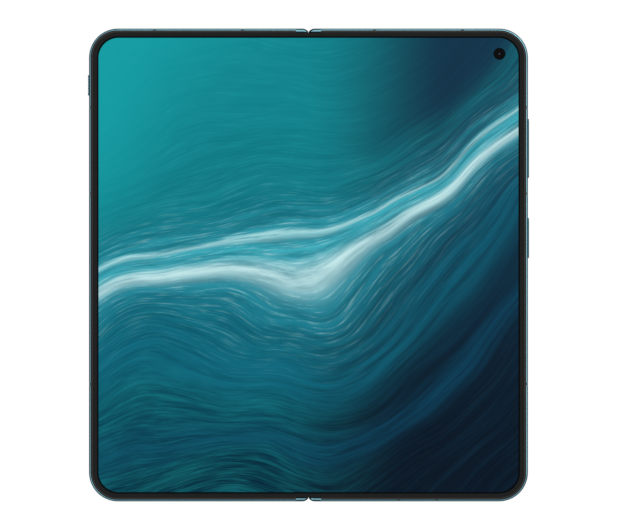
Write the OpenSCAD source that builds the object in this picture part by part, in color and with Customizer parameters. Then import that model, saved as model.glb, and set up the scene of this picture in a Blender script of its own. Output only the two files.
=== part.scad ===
// Book-style folding smartphone, lying open on its back with the inner display up.
// +X is the right half (cameras and buttons), +Y the top edge, +Z out of the inner display.
// The origin lies on the fold line, midway up the phone, at the level of the camera ring's face.
// Each half is drawn on the +X side, and the left half is its mirror image.

/* [Body] */
// Width of the open phone
body_w = 142.4; // [130:0.1:156]
// Height of the phone
body_h = 153.4; // [142:0.1:166]
// Thickness of the open phone, without the cameras
body_t = 5.8; // [5.7:0.1:7]
// Radius of the four outer corners
corner_r = 9.4; // [8:0.1:12]
// Wall of the metal band
band_wall = 1.3; // [1.1:0.05:1.6]
// Rounding of the band towards the display
band_front_r = 0.9; // [0.6:0.05:1.2]
// Rounding of the band towards the back
band_back_r = 1.5; // [0.8:0.05:1.6]
// Thickness of the plate that carries the display
mid_plate_t = 0.7; // [0.5:0.05:0.9]
// Thickness of the two back glasses
back_glass_t = 0.6; // [0.4:0.05:0.7]

/* [Display] */
// Metal left bare between the outline and the bezel
bezel_inset = 0.65; // [0.5:0.05:0.9]
// Width of the raised bezel
bezel_w = 2.0; // [1.6:0.05:2.6]
// Thickness of the bezel's lip over the display
bezel_lip_t = 0.22; // [0.15:0.01:0.3]
// Thickness of the folding display
panel_t = 0.45; // [0.35:0.01:0.5]
// Thickness of the stiff plate under the display
backing_t = 0.33; // [0.2:0.01:0.35]
// Half width of the display that bends
fold_half = 6; // [5.6:0.1:6.4]
// Radius of the hole for the inner camera
punch_r = 1.85; // [1.4:0.05:2]

/* [Hinge] */
// Distance of each fold axis from the fold line
axis_x = 2; // [1.95:0.01:2.1]
// Gap between the two bezels when the phone is closed
closed_gap = 0.1; // [0.06:0.01:0.3]
// Outer radius of the spine about each fold axis
spine_r = 2.8; // [2.7:0.02:2.85]
// Wall of the spine
spine_wall = 0.6; // [0.4:0.05:0.62]
// Running clearance of the spine and its neighbours
spine_gap = 0.1; // [0.08:0.01:0.15]
// Radius of the hinge shafts
shaft_r = 0.4; // [0.35:0.01:0.42]
// Running clearance of the bores on the shafts
shaft_gap = 0.03; // [0.02:0.005:0.04]
// Pitch radius of the synchronising gears
gear_r = 0.8; // [0.78:0.005:0.82]
// Teeth on each gear
gear_teeth = 12; // [12:1:14]
// Length of a hinge module along the fold
module_l = 22; // [20:0.5:24]
// Distance of the outer hinge modules from the ends of the hinge bay
module_end = 4.36; // [3:0.01:8]

/* [Cameras] */
// Height of the camera ring over the back glass
bump_h = 2.2; // [1.6:0.1:3]
// Radius of the camera deck
deck_r = 19.5; // [18:0.1:22]
// Radius of the rear lens rings
lens_r = 5.6; // [4.8:0.1:6]
// Distance of the rear lenses from the deck's centre
lens_orbit = 9.6; // [9:0.1:10.5]

/* [Keys and ports] */
// How far the keys stand out of the band
key_out = 0.36; // [0.25:0.01:0.5]
// Width of the keys, front to back
key_w = 1.9; // [1.6:0.05:2.2]
// Length of the volume rocker
volume_l = 19.1; // [16:0.1:22]
// Length of the power key
power_l = 13; // [11:0.1:15]
// Length of the alert slider's cap
slider_l = 6.6; // [5:0.1:8]
// Travel of the alert slider each way
slider_travel = 1.2; // [0.8:0.1:1.5]
// Clearance round the keys
key_gap = 0.12; // [0.08:0.01:0.2]
// Width of the charging port's mouth
port_w = 8.34; // [8.3:0.01:8.5]
// Height of the charging port's mouth
port_h = 2.56; // [2.5:0.01:2.6]

/* [Hidden] */
$fn = 48;
eps = 0.01;

// Levels, from the camera ring's face at 0 up to the bezel's face
back_z = bump_h;
top_z = back_z + body_t;
axis_z = top_z - axis_x + closed_gap / 2;
frame_z0 = back_z + 0.15;
frame_z1 = top_z - 0.1;
inner_z0 = back_z + back_glass_t + 0.05;
display_z = top_z - bezel_lip_t - 0.03;
panel_z = display_z - panel_t;
backing_z = panel_z - 0.02 - backing_t;
plate_z1 = backing_z - 0.05;
plate_z0 = plate_z1 - mid_plate_t;
mid_z = (frame_z0 + frame_z1) / 2;

// Plan sizes
half_w = body_w / 2;
half_h = body_h / 2;
hinge_x0 = 0.05;
end_wall = 1.34;
bay_y = half_h - end_wall;
notch_depth = 1.14;
notch_r = (axis_x * axis_x + notch_depth * notch_depth) / (2 * notch_depth);
bezel_end_x = 4.05;
panel_inset = 1.6;
pivot_x = 6.5;
pivot_z = axis_z + 1.0;
ledge_w = 2.0;
ledge_z1 = inner_z0 + 0.5;
pivot_r = 0.2;
shelf_x = 6.95;
bay_x = 8.6;
bay_wall_x = 9.4;
arm_drop = 2.0;
arm_z0 = axis_z - arm_drop;
arm_t = 0.9;
arm_end_x = 8.5;
crank_x = 1.5;
screw_x = 6.9;
screw_reach = 1.4;
screw_r = 0.34;
screw_head_r = 0.75;
lip_r = spine_r + spine_gap;
glass_x0 = 3.3;
glass_inset = 1.0;

// Hinge modules
knuckle_r = 0.95;
module_pitch = bay_y - module_end - module_l / 2;
arm_l = 5;
gear_w = 2.4;
block_l = 2;
module_ys = [-module_pitch, 0, module_pitch];
gear_ys = [-module_pitch, module_pitch];
idler_x = gear_r;
idler_drop = sqrt(4 * gear_r * gear_r - (axis_x - idler_x) * (axis_x - idler_x));
idler_axle_r = 0.25;
wing_inner_x = 3.7;
centre_half = 2.65;
spine_y = bay_y - 0.15;
cap_t = 1.5;

// Keys, ports and cameras in plan, from the edge or the fold that each keeps its distance to
volume_y = half_h - 38.9;
power_y = half_h - 67.95;
slider_y = half_h - 18.4;
strip_w = 0.97;
side_strip_ys = [half_h - 25.6, half_h - 53.5, 38.1 - half_h];
top_strip_xs = [21.4, half_w - 21.25];
deck_x = half_w - 34.2;
deck_y = half_h - 28.7;
camera_x = half_w - 9.25;
camera_y = half_h - 8.2;
well_r = 2.3;
housing_half = 5.3;
flash_r = 2;
flash_neck_r = 1.6;
port_x = half_w / 2 - 0.25;
port_side = 6.15;
bottom_strip_xs = [port_x - port_side, port_x + port_side];
port_shell = 0.2;
port_l = 7.4;
port_z = plate_z0 - port_h / 2 - port_shell - 0.07;
sim_x = bay_wall_x + 7.6;
sim_w = 12;
sim_l = 15;
sim_t = 1.1;
sim_z = back_z + 2.0;
speaker_x = half_w - 18.2;
speaker_w = 14.7;
speaker_l = 9.1;
hole_pitch = 1.9;
hole_r = 0.5;
mic_r = 0.35;
mic_x = port_x + 8;
front_x = half_w / 2 + 0.4;
front_y = half_h - 6.5;
earpiece_w = 14;
dome_reach = 6.5;

// Inner pieces
cell_y0 = 20.7 - half_h;
cell_y1 = half_h - 56.7;
cell_x0 = bay_wall_x + 0.8;
cell_x1 = half_w - 4.7;
board_side = 4;
board_end = 3;
board_gap = 1.4;
tab_inset = 6;
cell_z1 = plate_z0 - 0.1;
board_t = 0.7;
board_z = back_z + 2.35;
low_board_z = cell_z1 - board_t;
cover_panel_t = 0.8;
shields = [[14, 12.6], [23, 9.6]];
cover_panel_z = back_z + back_glass_t + 0.02;

// Helpers

module left_of() {
    mirror([1, 0, 0]) children();
}

// A bar along Y with a profile drawn in X and Z
module along_y(y0, y1) {
    translate([0, y1, 0]) rotate([90, 0, 0]) linear_extrude(y1 - y0) children();
}

// A box from its two corners
module block(low, high) {
    translate(low) cube(high - low);
}

// A rod along Y
module rod_y(x, z, r, y0, y1) {
    translate([x, y0, z]) rotate([-90, 0, 0]) cylinder(r = r, h = y1 - y0);
}

// The plan of one half, drawn in by a margin, from the plane x = x0 outwards
module half_plan(inset, x0) {
    r = corner_r - inset;
    translate([x0, -half_h + inset]) square([half_w - corner_r - x0, body_h - 2 * inset]);
    translate([x0, -half_h + corner_r]) square([half_w - inset - x0, body_h - 2 * corner_r]);
    for (s = [-1, 1]) translate([half_w - corner_r, s * (half_h - corner_r)]) circle(r);
}

module half_plate(inset, x0, z0, z1) {
    translate([0, 0, z0]) linear_extrude(z1 - z0) half_plan(inset, x0);
}

// Carries a profile round the three outer edges of one half.
// The profile is drawn with x running inwards from the outline, and y upwards.
module round_half(x0) {
    straight = half_h - corner_r;
    translate([half_w, 0, 0]) mirror([1, 0, 0]) along_y(-straight, straight) children();
    for (s = [-1, 1]) {
        translate([half_w - corner_r, s * straight, 0]) rotate([0, 0, s > 0 ? 0 : -90])
            rotate_extrude(angle = 90) translate([corner_r, 0]) mirror([1, 0]) children();
        translate([x0, 0, 0]) mirror([0, s > 0 ? 0 : 1, 0]) translate([0, half_h, 0])
            rotate([90, 0, 90]) linear_extrude(half_w - corner_r - x0) mirror([1, 0]) children();
    }
}

// Profile of the metal band: round outside, flat inside, with a ledge that carries the back glass
module band_profile() {
    h = frame_z1 - frame_z0;
    intersection() {
        union() {
            translate([band_back_r, frame_z0 + band_back_r]) circle(band_back_r);
            translate([band_front_r, frame_z1 - band_front_r]) circle(band_front_r);
            translate([0, frame_z0 + band_back_r]) square([band_wall, h - band_back_r - band_front_r]);
            translate([band_front_r, frame_z1 - band_front_r]) square([band_wall, band_front_r]);
            translate([band_back_r, frame_z0]) square([ledge_w, ledge_z1 - frame_z0]);
        }
        union() {
            translate([0, frame_z0]) square([band_wall, h]);
            translate([0, frame_z0]) square([ledge_w, ledge_z1 - frame_z0]);
        }
    }
}

// The round end of a half towards the fold line, above the fold axis
module fold_rounding() {
    difference() {
        block([-1, -half_h - 1, axis_z], [axis_x, half_h + 1, top_z + 1]);
        rod_y(axis_x, axis_z, axis_x - hinge_x0, -half_h - 2, half_h + 2);
    }
}

// The two small arcs that notch a half's plan where it meets the other half, with the band's rounding on them
module fold_notches() {
    depth = half_h - bay_y + eps;
    for (s = [-1, 1]) difference() {
        translate([-1, s > 0 ? half_h - depth : -half_h - 1, 0]) cube([1 + axis_x, depth + 1, top_z + 1]);
        translate([axis_x, s * (half_h - notch_r), 0]) rotate_extrude() {
            translate([0, -1]) square([notch_r, frame_z1 - band_front_r + 1]);
            translate([0, -1]) square([notch_r - band_front_r, frame_z1 + 1]);
            translate([notch_r - band_front_r, frame_z1 - band_front_r]) intersection() {
                circle(band_front_r);
                square(band_front_r);
            }
        }
    }
}

// The space that the spine sweeps and fills inside a half
module spine_bay() {
    rod_y(axis_x, axis_z, lip_r, -bay_y, bay_y);
    block([-1, -bay_y, axis_z - lip_r], [axis_x, bay_y, top_z + 1]);
    block([axis_x, -bay_y, arm_z0], [bay_x, bay_y, plate_z0]);
    block([axis_x, -bay_y, plate_z0 - eps], [shelf_x, bay_y, top_z + 1]);
}

// Stadium-shaped outline in X and Z, between the two axes of a slot
module slot_outline(half_span, r) {
    translate([-half_span, -r]) square([2 * half_span, 2 * r]);
    for (s = [-1, 1]) translate([s * half_span, 0]) circle(r);
}

// A key's body with round ends, seen from the side, running along Y
module key_solid(length, width, x0, x1) {
    span = (length - width) / 2;
    translate([x0, 0, 0]) rotate([90, 0, 90]) linear_extrude(x1 - x0) slot_outline(span, width / 2);
}

// Frames

// Cuts for the antenna strips, in the side and the top edge, and in the bottom edge where asked
module antenna_slots(extra, bottom_xs) {
    w = strip_w / 2;
    depth = band_wall - 0.35;
    z0 = frame_z0 - extra;
    z1 = frame_z1 + extra;
    for (y = side_strip_ys) block([half_w - depth, y - w, z0], [half_w + extra, y + w, z1]);
    for (x = top_strip_xs) block([x - w, half_h - depth, z0], [x + w, half_h + extra, z1]);
    for (x = bottom_xs) block([x - w, -half_h - extra, z0], [x + w, -half_h + depth, z1]);
}

module band() {
    round_half(hinge_x0) band_profile();
}

module half_shell(bottom_xs) {
    difference() {
        union() {
            band();
            half_plate(1, shelf_x, plate_z0, plate_z1);
            // floor of the hinge bay, and the wall behind it
            block([hinge_x0, -half_h + band_back_r, frame_z0],
                  [bay_wall_x, half_h - band_back_r, ledge_z1]);
            block([axis_x, -half_h + 1, inner_z0], [bay_wall_x, half_h - 1, arm_z0]);
            block([bay_x, -half_h + 1, inner_z0], [bay_wall_x, half_h - 1, plate_z0 + eps]);
            // end walls of the hinge bay
            for (s = [-1, 1]) translate([0, s > 0 ? bay_y : -half_h + 1, 0])
                block([hinge_x0, 0, frame_z0 + band_back_r], [bay_x, end_wall - 1, frame_z1]);
            for (s = [-1, 1]) translate([0, s > 0 ? half_h - 2 : -half_h + 1, 0])
                block([hinge_x0, 0, inner_z0 - 0.1], [bay_x, 1, axis_z]);
        }
        spine_bay();
        fold_rounding();
        fold_notches();
        // recess for the back glass
        half_plate(glass_inset - 0.05, glass_x0 - 0.05, frame_z0 - 1, inner_z0);
        antenna_slots(1, bottom_xs);
        // sockets of the wing plate's pins
        rod_y(pivot_x, pivot_z, pivot_r + shaft_gap, -bay_y - 0.5, bay_y + 0.5);
        // seat of the bezel
        half_plate(1.5, shelf_x, plate_z1, top_z + 1);
        bezel_seat();
        // holes of the hinge screws
        for (p = screw_places()) translate([p[0], p[1], arm_z0 - 0.8]) cylinder(r = screw_r + eps, h = 1);
    }
}

module bezel_seat() {
    round_half(bezel_end_x) translate([bezel_inset - 0.02, top_z - 0.5]) square([1.2, 1]);
}

function screw_places() = [for (y = module_ys, s = [-1, 1]) [screw_x, arm_y0(y) + arm_l / 2 + s * screw_reach]];

module key_slot(y, length, width) {
    translate([0, y, mid_z])
        key_solid(length + 2 * key_gap, width + 2 * key_gap, half_w - band_wall - 1, half_w + 1);
}

// A row of sound holes through the band at the bottom or the top edge
module sound_holes(x, count, y0) {
    for (i = [0:count - 1]) rod_y(x + (i - (count - 1) / 2) * hole_pitch, port_z, hole_r, y0, y0 + 4);
}

module right_frame() {
    color("teal") difference() {
        half_shell(bottom_strip_xs);
        key_slot(volume_y, volume_l, key_w);
        key_slot(power_y, power_l, key_w);
        // mouth of the charging port, and the pocket of its receptacle
        translate([port_x, 0, port_z]) {
            along_y(-half_h - 1, -half_h + 1) slot_outline((port_w - port_h) / 2, port_h / 2);
            along_y(-half_h + 0.6, -half_h + 3)
                slot_outline((port_w - port_h) / 2, port_h / 2 + port_shell + 0.05);
        }
        // slot of the SIM tray, and the hole of its eject pin
        block([sim_x - sim_w / 2 - 0.08, -half_h - 1, sim_z - sim_t / 2 - 0.06],
              [sim_x + sim_w / 2 + 0.08, -half_h + 3, sim_z + sim_t / 2 + 0.06]);
        // sound holes
        sound_holes(speaker_x, 7, -half_h - 1);
        rod_y(mic_x, port_z, mic_r, -half_h - 1, -half_h + 3);
        rod_y(deck_x - 7, port_z, mic_r, half_h - 3, half_h + 1);
        // well of the inner camera
        translate([camera_x, camera_y, plate_z0 - 1]) cylinder(r = well_r, h = 3);
    }
}

module left_frame() {
    color("teal") left_of() difference() {
        half_shell([]);
        // slot of the alert slider
        key_slot(slider_y, slider_l + 2 * slider_travel, key_w);
        sound_holes(speaker_x, 5, -half_h - 1);
        sound_holes(front_x, 5, half_h - 3);
        rod_y(mic_x, port_z, mic_r, -half_h - 1, -half_h + 3);
    }
}

module antenna_strips(bottom_xs) {
    intersection() {
        difference() {
            band();
            bezel_seat();
            half_plate(glass_inset - 0.05, glass_x0 - 0.05, frame_z0 - 1, inner_z0);
        }
        antenna_slots(0, bottom_xs);
    }
}

module right_antenna_strips() {
    color("darkslategray") antenna_strips(bottom_strip_xs);
}

module left_antenna_strips() {
    color("darkslategray") left_of() antenna_strips([]);
}

// Back of the right half

module back_plate(z0, z1, inset) {
    half_plate(glass_inset + inset, glass_x0 + inset, z0, z1);
}

module right_back_glass() {
    color("darkcyan") difference() {
        union() {
            back_plate(back_z, back_z + 0.2, 0.15);
            back_plate(back_z + 0.2, back_z + back_glass_t, 0);
        }
        translate([deck_x, deck_y, 0]) cylinder(r = deck_r - 0.9, h = top_z);
    }
}

module camera_deck() {
    color("black") translate([deck_x, deck_y, 0]) difference() {
        union() {
            translate([0, 0, 0.9]) cylinder(r = deck_r - 0.05, h = back_z - 0.9);
            translate([0, 0, back_z - eps]) cylinder(r = deck_r - 1, h = back_glass_t);
        }
        for (p = lens_places()) translate([p[0], p[1], 0]) cylinder(r = lens_r + 0.1, h = top_z);
        translate([flash_place()[0], flash_place()[1], 0]) cylinder(r = flash_r + 0.1, h = top_z);
    }
}

// Three rear lenses and the flash stand at the corners of a square
function lens_places() = [for (a = [135, 45, 225]) lens_orbit * [cos(a), sin(a)]];
function flash_place() = lens_orbit * [cos(315), sin(315)];

module camera_ring() {
    color("teal") translate([deck_x, deck_y, 0]) rotate_extrude($fn = 96) {
        translate([deck_r, 0.35]) square([1.1, back_z - 0.35]);
        translate([deck_r + 0.35, 0]) square([0.4, 0.4]);
        translate([deck_r + 0.35, 0.35]) circle(0.35);
        translate([deck_r + 0.75, 0.35]) circle(0.35);
    }
}

module camera_glass() {
    color("dimgray") translate([deck_x, deck_y, 0]) difference() {
        translate([0, 0, 0.35]) cylinder(r = deck_r - 0.03, h = 0.53);
        for (p = lens_places()) translate([p[0], p[1], 0]) cylinder(r = lens_r + 0.03, h = 2);
        translate([flash_place()[0], flash_place()[1], 0]) cylinder(r = flash_r + 0.03, h = 2);
    }
}

module at_lenses() {
    for (p = lens_places()) translate([deck_x + p[0], deck_y + p[1], 0]) children();
}

module rear_lens_rings() {
    color("silver") at_lenses() rotate_extrude() {
        translate([lens_r - 0.8, 0.3]) square([0.8, 1.5]);
        translate([lens_r - 0.55, 0.1]) square([0.3, 0.4]);
        translate([lens_r - 0.55, 0.35]) circle(0.25);
        translate([lens_r - 0.25, 0.35]) circle(0.25);
    }
}

module rear_lens_windows() {
    color("darkslateblue") at_lenses() translate([0, 0, 0.4]) cylinder(r = lens_r - 0.83, h = 0.5);
}

// Each rear camera: a stepped lens barrel on a square sensor housing
module rear_camera_modules() {
    color("black") at_lenses() difference() {
        union() {
            translate([0, 0, 1.0]) cylinder(r = lens_r - 1.0, h = 1.2);
            translate([0, 0, 1.85]) cylinder(r = lens_r - 0.1, h = back_glass_t + 0.4);
            block([-housing_half, -housing_half, back_z + back_glass_t + 0.05],
                  [housing_half, housing_half, plate_z0 - 0.05]);
        }
        translate([0, 0, 0.5]) cylinder(r1 = 3.9, r2 = 2.2, h = 1.2);
    }
}

module flash_lens() {
    color("ivory") translate([deck_x + flash_place()[0], deck_y + flash_place()[1], 0]) {
        translate([0, 0, 0.35]) cylinder(r = flash_r, h = 1.8);
        translate([0, 0, 2.1]) cylinder(r = flash_neck_r, h = 1.2);
    }
}

// Bezels and display

module bezel() {
    round_half(bezel_end_x) {
        translate([bezel_inset, top_z - 0.48]) square([0.85, 0.28]);
        translate([bezel_inset, top_z - bezel_lip_t]) square([bezel_w - 0.08, bezel_lip_t - 0.08]);
        translate([bezel_inset + 0.08, top_z - bezel_lip_t]) square([bezel_w - 0.16, bezel_lip_t]);
        translate([bezel_inset, top_z - bezel_lip_t - eps]) square([bezel_w, bezel_lip_t - 0.07]);
    }
}

module right_bezel() {
    color("dimgray") bezel();
}

module left_bezel() {
    color("dimgray") left_of() bezel();
}

module display_backing() {
    half_plate(panel_inset + 0.1, shelf_x + 0.05, backing_z, backing_z + backing_t);
}

module right_display_backing() {
    color("silver") difference() {
        display_backing();
        translate([camera_x, camera_y, 0]) cylinder(r = well_r, h = top_z + 1);
    }
}

module left_display_backing() {
    color("silver") left_of() display_backing();
}

module display_panel() {
    half_plate(panel_inset, fold_half, panel_z, display_z);
}

module right_display_panel() {
    color("steelblue") difference() {
        display_panel();
        translate([camera_x, camera_y, 0]) cylinder(r = punch_r, h = top_z + 1);
    }
}

module left_display_panel() {
    color("darkturquoise") left_of() display_panel();
}

module display_fold_zone() {
    color("teal") block([-fold_half, -half_h + panel_inset, panel_z], [fold_half, half_h - panel_inset, display_z]);
}

module fold_bezel_strips() {
    y1 = bay_y - 0.04;
    y0 = half_h - bezel_inset - bezel_w;
    x1 = bezel_end_x - 0.02;
    color("black") for (s = [-1, 1]) {
        low = s > 0 ? y0 : -y1;
        block([-x1, low, top_z - bezel_lip_t - eps], [x1, low + y1 - y0, top_z - 0.06]);
    }
}

module inner_camera() {
    color("black") translate([camera_x, camera_y, 0]) difference() {
        union() {
            translate([0, 0, plate_z0 - 0.9]) cylinder(r = well_r - 0.1, h = panel_z - 0.05 - plate_z0 + 0.9);
            translate([0, 0, panel_z - 0.1]) cylinder(r = punch_r - 0.05, h = panel_t);
        }
        translate([0, 0, display_z - 0.35]) cylinder(r1 = 0.35, r2 = 0.8, h = 0.5);
    }
}

// Electronics of the right half

// The board wraps round the rear cameras, above the battery
module main_board() {
    cut = housing_half + 0.15;
    color("darkgreen") difference() {
        block([cell_x0, cell_y1 + board_gap, board_z], [half_w - board_side, half_h - board_end, board_z + board_t]);
        at_lenses() block([-cut, -cut, 0], [cut, cut, top_z]);
        translate([deck_x + flash_place()[0], deck_y + flash_place()[1], 0])
            cylinder(r = flash_neck_r + 0.2, h = top_z);
        block([camera_x - well_r - 0.7, camera_y - well_r - 0.7, 0], [half_w, half_h, top_z]);
    }
    color("darkgreen") difference() {
        block([cell_x0, -half_h + 3.2, low_board_z], [half_w - 9.5, cell_y0 - 1.2, low_board_z + board_t]);
        translate([port_x - port_w / 2 - 0.5, -half_h, 0]) cube([port_w + 1, port_l + 1.8, top_z]);
    }
}

module board_shields() {
    x0 = cell_x0 + 1;
    x1 = x0 + shields[0][0] + 2;
    y0 = cell_y1 + 2.4;
    z0 = board_z + board_t;
    color("silver") {
        block([x0, y0, z0], [x0 + shields[0][0], y0 + shields[0][1], cell_z1]);
        block([x1, y0, z0], [x1 + shields[1][0], y0 + shields[1][1], cell_z1]);
    }
}

// A pouch cell with round edges and its folded terminal tab
module battery(z0) {
    r = (cell_z1 - z0) / 2;
    z = z0 + r;
    along_y(cell_y0, cell_y1 - 1) {
        for (x = [cell_x0 + r, cell_x1 - r]) translate([x, z]) circle(r);
        translate([cell_x0 + r, z0]) square([cell_x1 - cell_x0 - 2 * r, 2 * r]);
    }
    block([cell_x0 + tab_inset, cell_y1 - 1 - eps, z - 0.5], [cell_x1 - tab_inset, cell_y1, z + 0.5]);
}

module right_battery() {
    color("dimgray") battery(inner_z0 + 0.05);
}

module left_battery() {
    color("dimgray") left_of() battery(cover_panel_z + cover_panel_t + 0.05);
}

// Charging receptacle: a thin shell round a tongue
module usb_receptacle() {
    span = (port_w - port_h) / 2;
    y0 = -half_h + 0.65;
    color("silver") translate([port_x, 0, port_z]) {
        difference() {
            along_y(y0, y0 + port_l) slot_outline(span, port_h / 2 + port_shell);
            along_y(y0 - 1, y0 + port_l - 0.8) slot_outline(span, port_h / 2);
        }
        block([-3.3, y0 + 1.2, -0.35], [3.3, y0 + port_l - 0.6, 0.35]);
    }
}

module speaker_box(z0) {
    y0 = -half_h + band_wall + 0.05;
    block([speaker_x - 6.5, y0, z0], [speaker_x - 6.5 + speaker_w, y0 + speaker_l, low_board_z - 0.2]);
}

module loudspeaker() {
    color("black") speaker_box(ledge_z1 + 0.05);
}

module vibration_motor() {
    y0 = cell_y1 + 3;
    z0 = back_z + 0.75;
    color("silver") {
        block([half_w - 13, y0, z0], [half_w - 4.4, y0 + 5.6, z0 + 1.5]);
        block([half_w - 12.2, y0 - 0.6, z0 + 0.2], [half_w - 5.2, y0 + eps, z0 + 1.2]);
    }
}

module sim_reader() {
    x0 = sim_x - sim_w / 2;
    y0 = -half_h + 1.4;
    color("silver") difference() {
        block([x0 - 0.6, y0, sim_z - sim_t / 2 - 0.3],
              [x0 + sim_w + 0.6, y0 + sim_l + 0.5, sim_z + sim_t / 2 + 0.3]);
        block([x0 - 0.1, y0 - 1, sim_z - sim_t / 2 - 0.1],
              [x0 + sim_w + 0.1, y0 + sim_l, sim_z + sim_t / 2 + 0.1]);
    }
}

// Tray with a pocket for the card, behind a front that closes the slot
module sim_tray() {
    x0 = sim_x - sim_w / 2;
    y0 = -half_h + 0.06;
    color("teal") difference() {
        union() {
            block([x0, y0, sim_z - sim_t / 2], [x0 + sim_w, y0 + 1.2, sim_z + sim_t / 2]);
            block([x0 + 0.15, y0, sim_z - sim_t / 2 + 0.1],
                  [x0 + sim_w - 0.15, y0 + sim_l, sim_z + sim_t / 2 - 0.1]);
        }
        block([x0 + 1.2, y0 + 2, sim_z - 0.15], [x0 + sim_w - 1.2, y0 + sim_l - 1, sim_z + 1]);
        rod_y(x0 + sim_w - 2, sim_z, 0.3, y0 - 1, y0 + 1);
    }
}

// Dome switches behind the keys, on their flexible board
module key_switches() {
    x = half_w - band_wall - 1.75;
    color("goldenrod") {
        block([x - 0.3, power_y - power_l / 2, mid_z - 1], [x, volume_y + volume_l / 2, mid_z + 1]);
        for (y = [volume_y - dome_reach, volume_y + dome_reach, power_y]) translate([x - eps, y, mid_z])
            rotate([0, 90, 0]) cylinder(r1 = 0.9, r2 = 0.6, h = 0.45);
    }
}

// Keys

// A key seen in plan: cap with round shoulders outside, plungers inside
module key(length) {
    x1 = half_w + key_out;
    key_solid(length - 0.2, key_w - 0.2, half_w - 0.5, x1);
    key_solid(length, key_w, half_w - 0.5, x1 - 0.12);
    key_solid(length - 0.8, key_w - 0.5, half_w - band_wall - 0.25, half_w - 0.4);
}

module volume_rocker() {
    color("teal") translate([0, volume_y, mid_z]) {
        key(volume_l);
        for (s = [-1, 1]) translate([half_w - band_wall - 0.9, s * dome_reach, 0]) rotate([0, 90, 0])
            cylinder(r = 0.5, h = 1);
    }
}

module power_key() {
    color("teal") translate([0, power_y, mid_z]) {
        key(power_l);
        translate([half_w - band_wall - 0.95, 0, 0]) rotate([0, 90, 0]) cylinder(r = 0.5, h = 1);
    }
}

module alert_slider() {
    pitch = slider_l / 9;
    x1 = half_w + key_out;
    color("teal") left_of() translate([0, slider_y, mid_z]) difference() {
        union() {
            key_solid(slider_l, key_w, half_w - band_wall - 0.1, x1 - 0.1);
            key_solid(slider_l - 0.2, key_w - 0.2, half_w - 0.5, x1);
            block([half_w - band_wall - 1, -1.2, -0.6], [half_w - band_wall, 1.2, 0.6]);
        }
        for (i = [-3:3]) translate([x1 + 0.08, i * pitch, -1]) cylinder(r = 0.2, h = 2);
    }
}

module slider_switch() {
    x = half_w - band_wall - 1;
    color("black") left_of() difference() {
        block([x - 1.6, slider_y - 4.2, mid_z - 1.3], [x + 0.6, slider_y + 4.2, cell_z1]);
        block([x - 0.12, slider_y - 1.3 - slider_travel, mid_z - 0.75],
              [x + 1, slider_y + 1.3 + slider_travel, mid_z + 0.75]);
    }
}

// Left half's own pieces

module cover_glass() {
    color("black") left_of() difference() {
        union() {
            back_plate(back_z, back_z + 0.2, 0.15);
            back_plate(back_z + 0.2, back_z + back_glass_t, 0);
        }
        // slit of the earpiece
        block([front_x - 4, half_h - 1.9, back_z - 1], [front_x + 4, half_h - 1.35, back_z + 2]);
    }
}

module cover_display_panel() {
    color("midnightblue") left_of() difference() {
        half_plate(ledge_w + 0.1, bay_wall_x + 0.2, cover_panel_z, cover_panel_z + cover_panel_t);
        translate([front_x, front_y, 0]) cylinder(r = 1.9, h = top_z);
    }
}

module cover_camera() {
    color("black") left_of() translate([front_x, front_y, inner_z0]) difference() {
        cylinder(r = 1.8, h = 2.6);
        translate([0, 0, -eps]) cylinder(r1 = 1, r2 = 0.4, h = 0.8);
    }
}

module earpiece() {
    color("black") left_of() block([front_x - earpiece_w / 2, front_y + 1.9, cover_panel_z + cover_panel_t + 0.05],
        [front_x + earpiece_w / 2, half_h - band_wall - 0.05, cell_z1 - 0.6]);
}

module sub_board() {
    color("darkgreen") left_of() {
        block([cell_x0, cell_y1 + board_gap, board_z], [half_w - board_side - 2, half_h - 9.5, board_z + board_t]);
        block([cell_x0, -half_h + 3.2, low_board_z], [half_w - 9.5, cell_y0 - 1.2, low_board_z + board_t]);
    }
}

module left_speaker() {
    color("black") left_of() speaker_box(cover_panel_z + cover_panel_t + 0.05);
}

// Hinge

// Involute gear outline, with a tooth centred on the angle phase
function involute(t, base) = let (a = t * 180 / PI) base * [cos(a) + t * sin(a), sin(a) - t * cos(a)];
function turned(p, a) = [p[0] * cos(a) - p[1] * sin(a), p[0] * sin(a) + p[1] * cos(a)];
function spread(t) = t * 180 / PI - atan(t);

module gear_outline(phase) {
    base = gear_r * cos(20);
    tip = gear_r + 0.11;
    root = gear_r - 0.17;
    t_pitch = tan(20);
    t_tip = sqrt(tip * tip / (base * base) - 1);
    half_tooth = 90 / gear_teeth - 2.0 + spread(t_pitch);
    steps = 4;
    flank = [for (i = [0:steps]) let (t = t_tip * i / steps) turned(involute(t, base), -half_tooth)];
    foot = root * [cos(half_tooth + 1), sin(half_tooth + 1)];
    tooth = concat([[foot[0], -foot[1]]], flank, [for (i = [steps:-1:0]) [flank[i][0], -flank[i][1]]], [foot]);
    polygon([for (k = [0:gear_teeth - 1], p = tooth) turned(p, phase + 360 * k / gear_teeth)]);
}

// Phase of a gear that meshes with one of the given phase, which lies in the direction away
function meshed(phase, away) = away + 180 - (phase - away) + 180 / gear_teeth;

idler_dir = atan2(-idler_drop, axis_x - idler_x);
left_phase = idler_dir;
left_idler_phase = meshed(left_phase, idler_dir);
right_idler_phase = meshed(left_idler_phase, 0);
right_phase = meshed(right_idler_phase, -idler_dir);

// Y where a module's arms begin, with its gears just below them
function arm_y0(y) = y + module_l / 2 - block_l - arm_l;
function gear_y0(y) = arm_y0(y) - gear_w;

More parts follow.
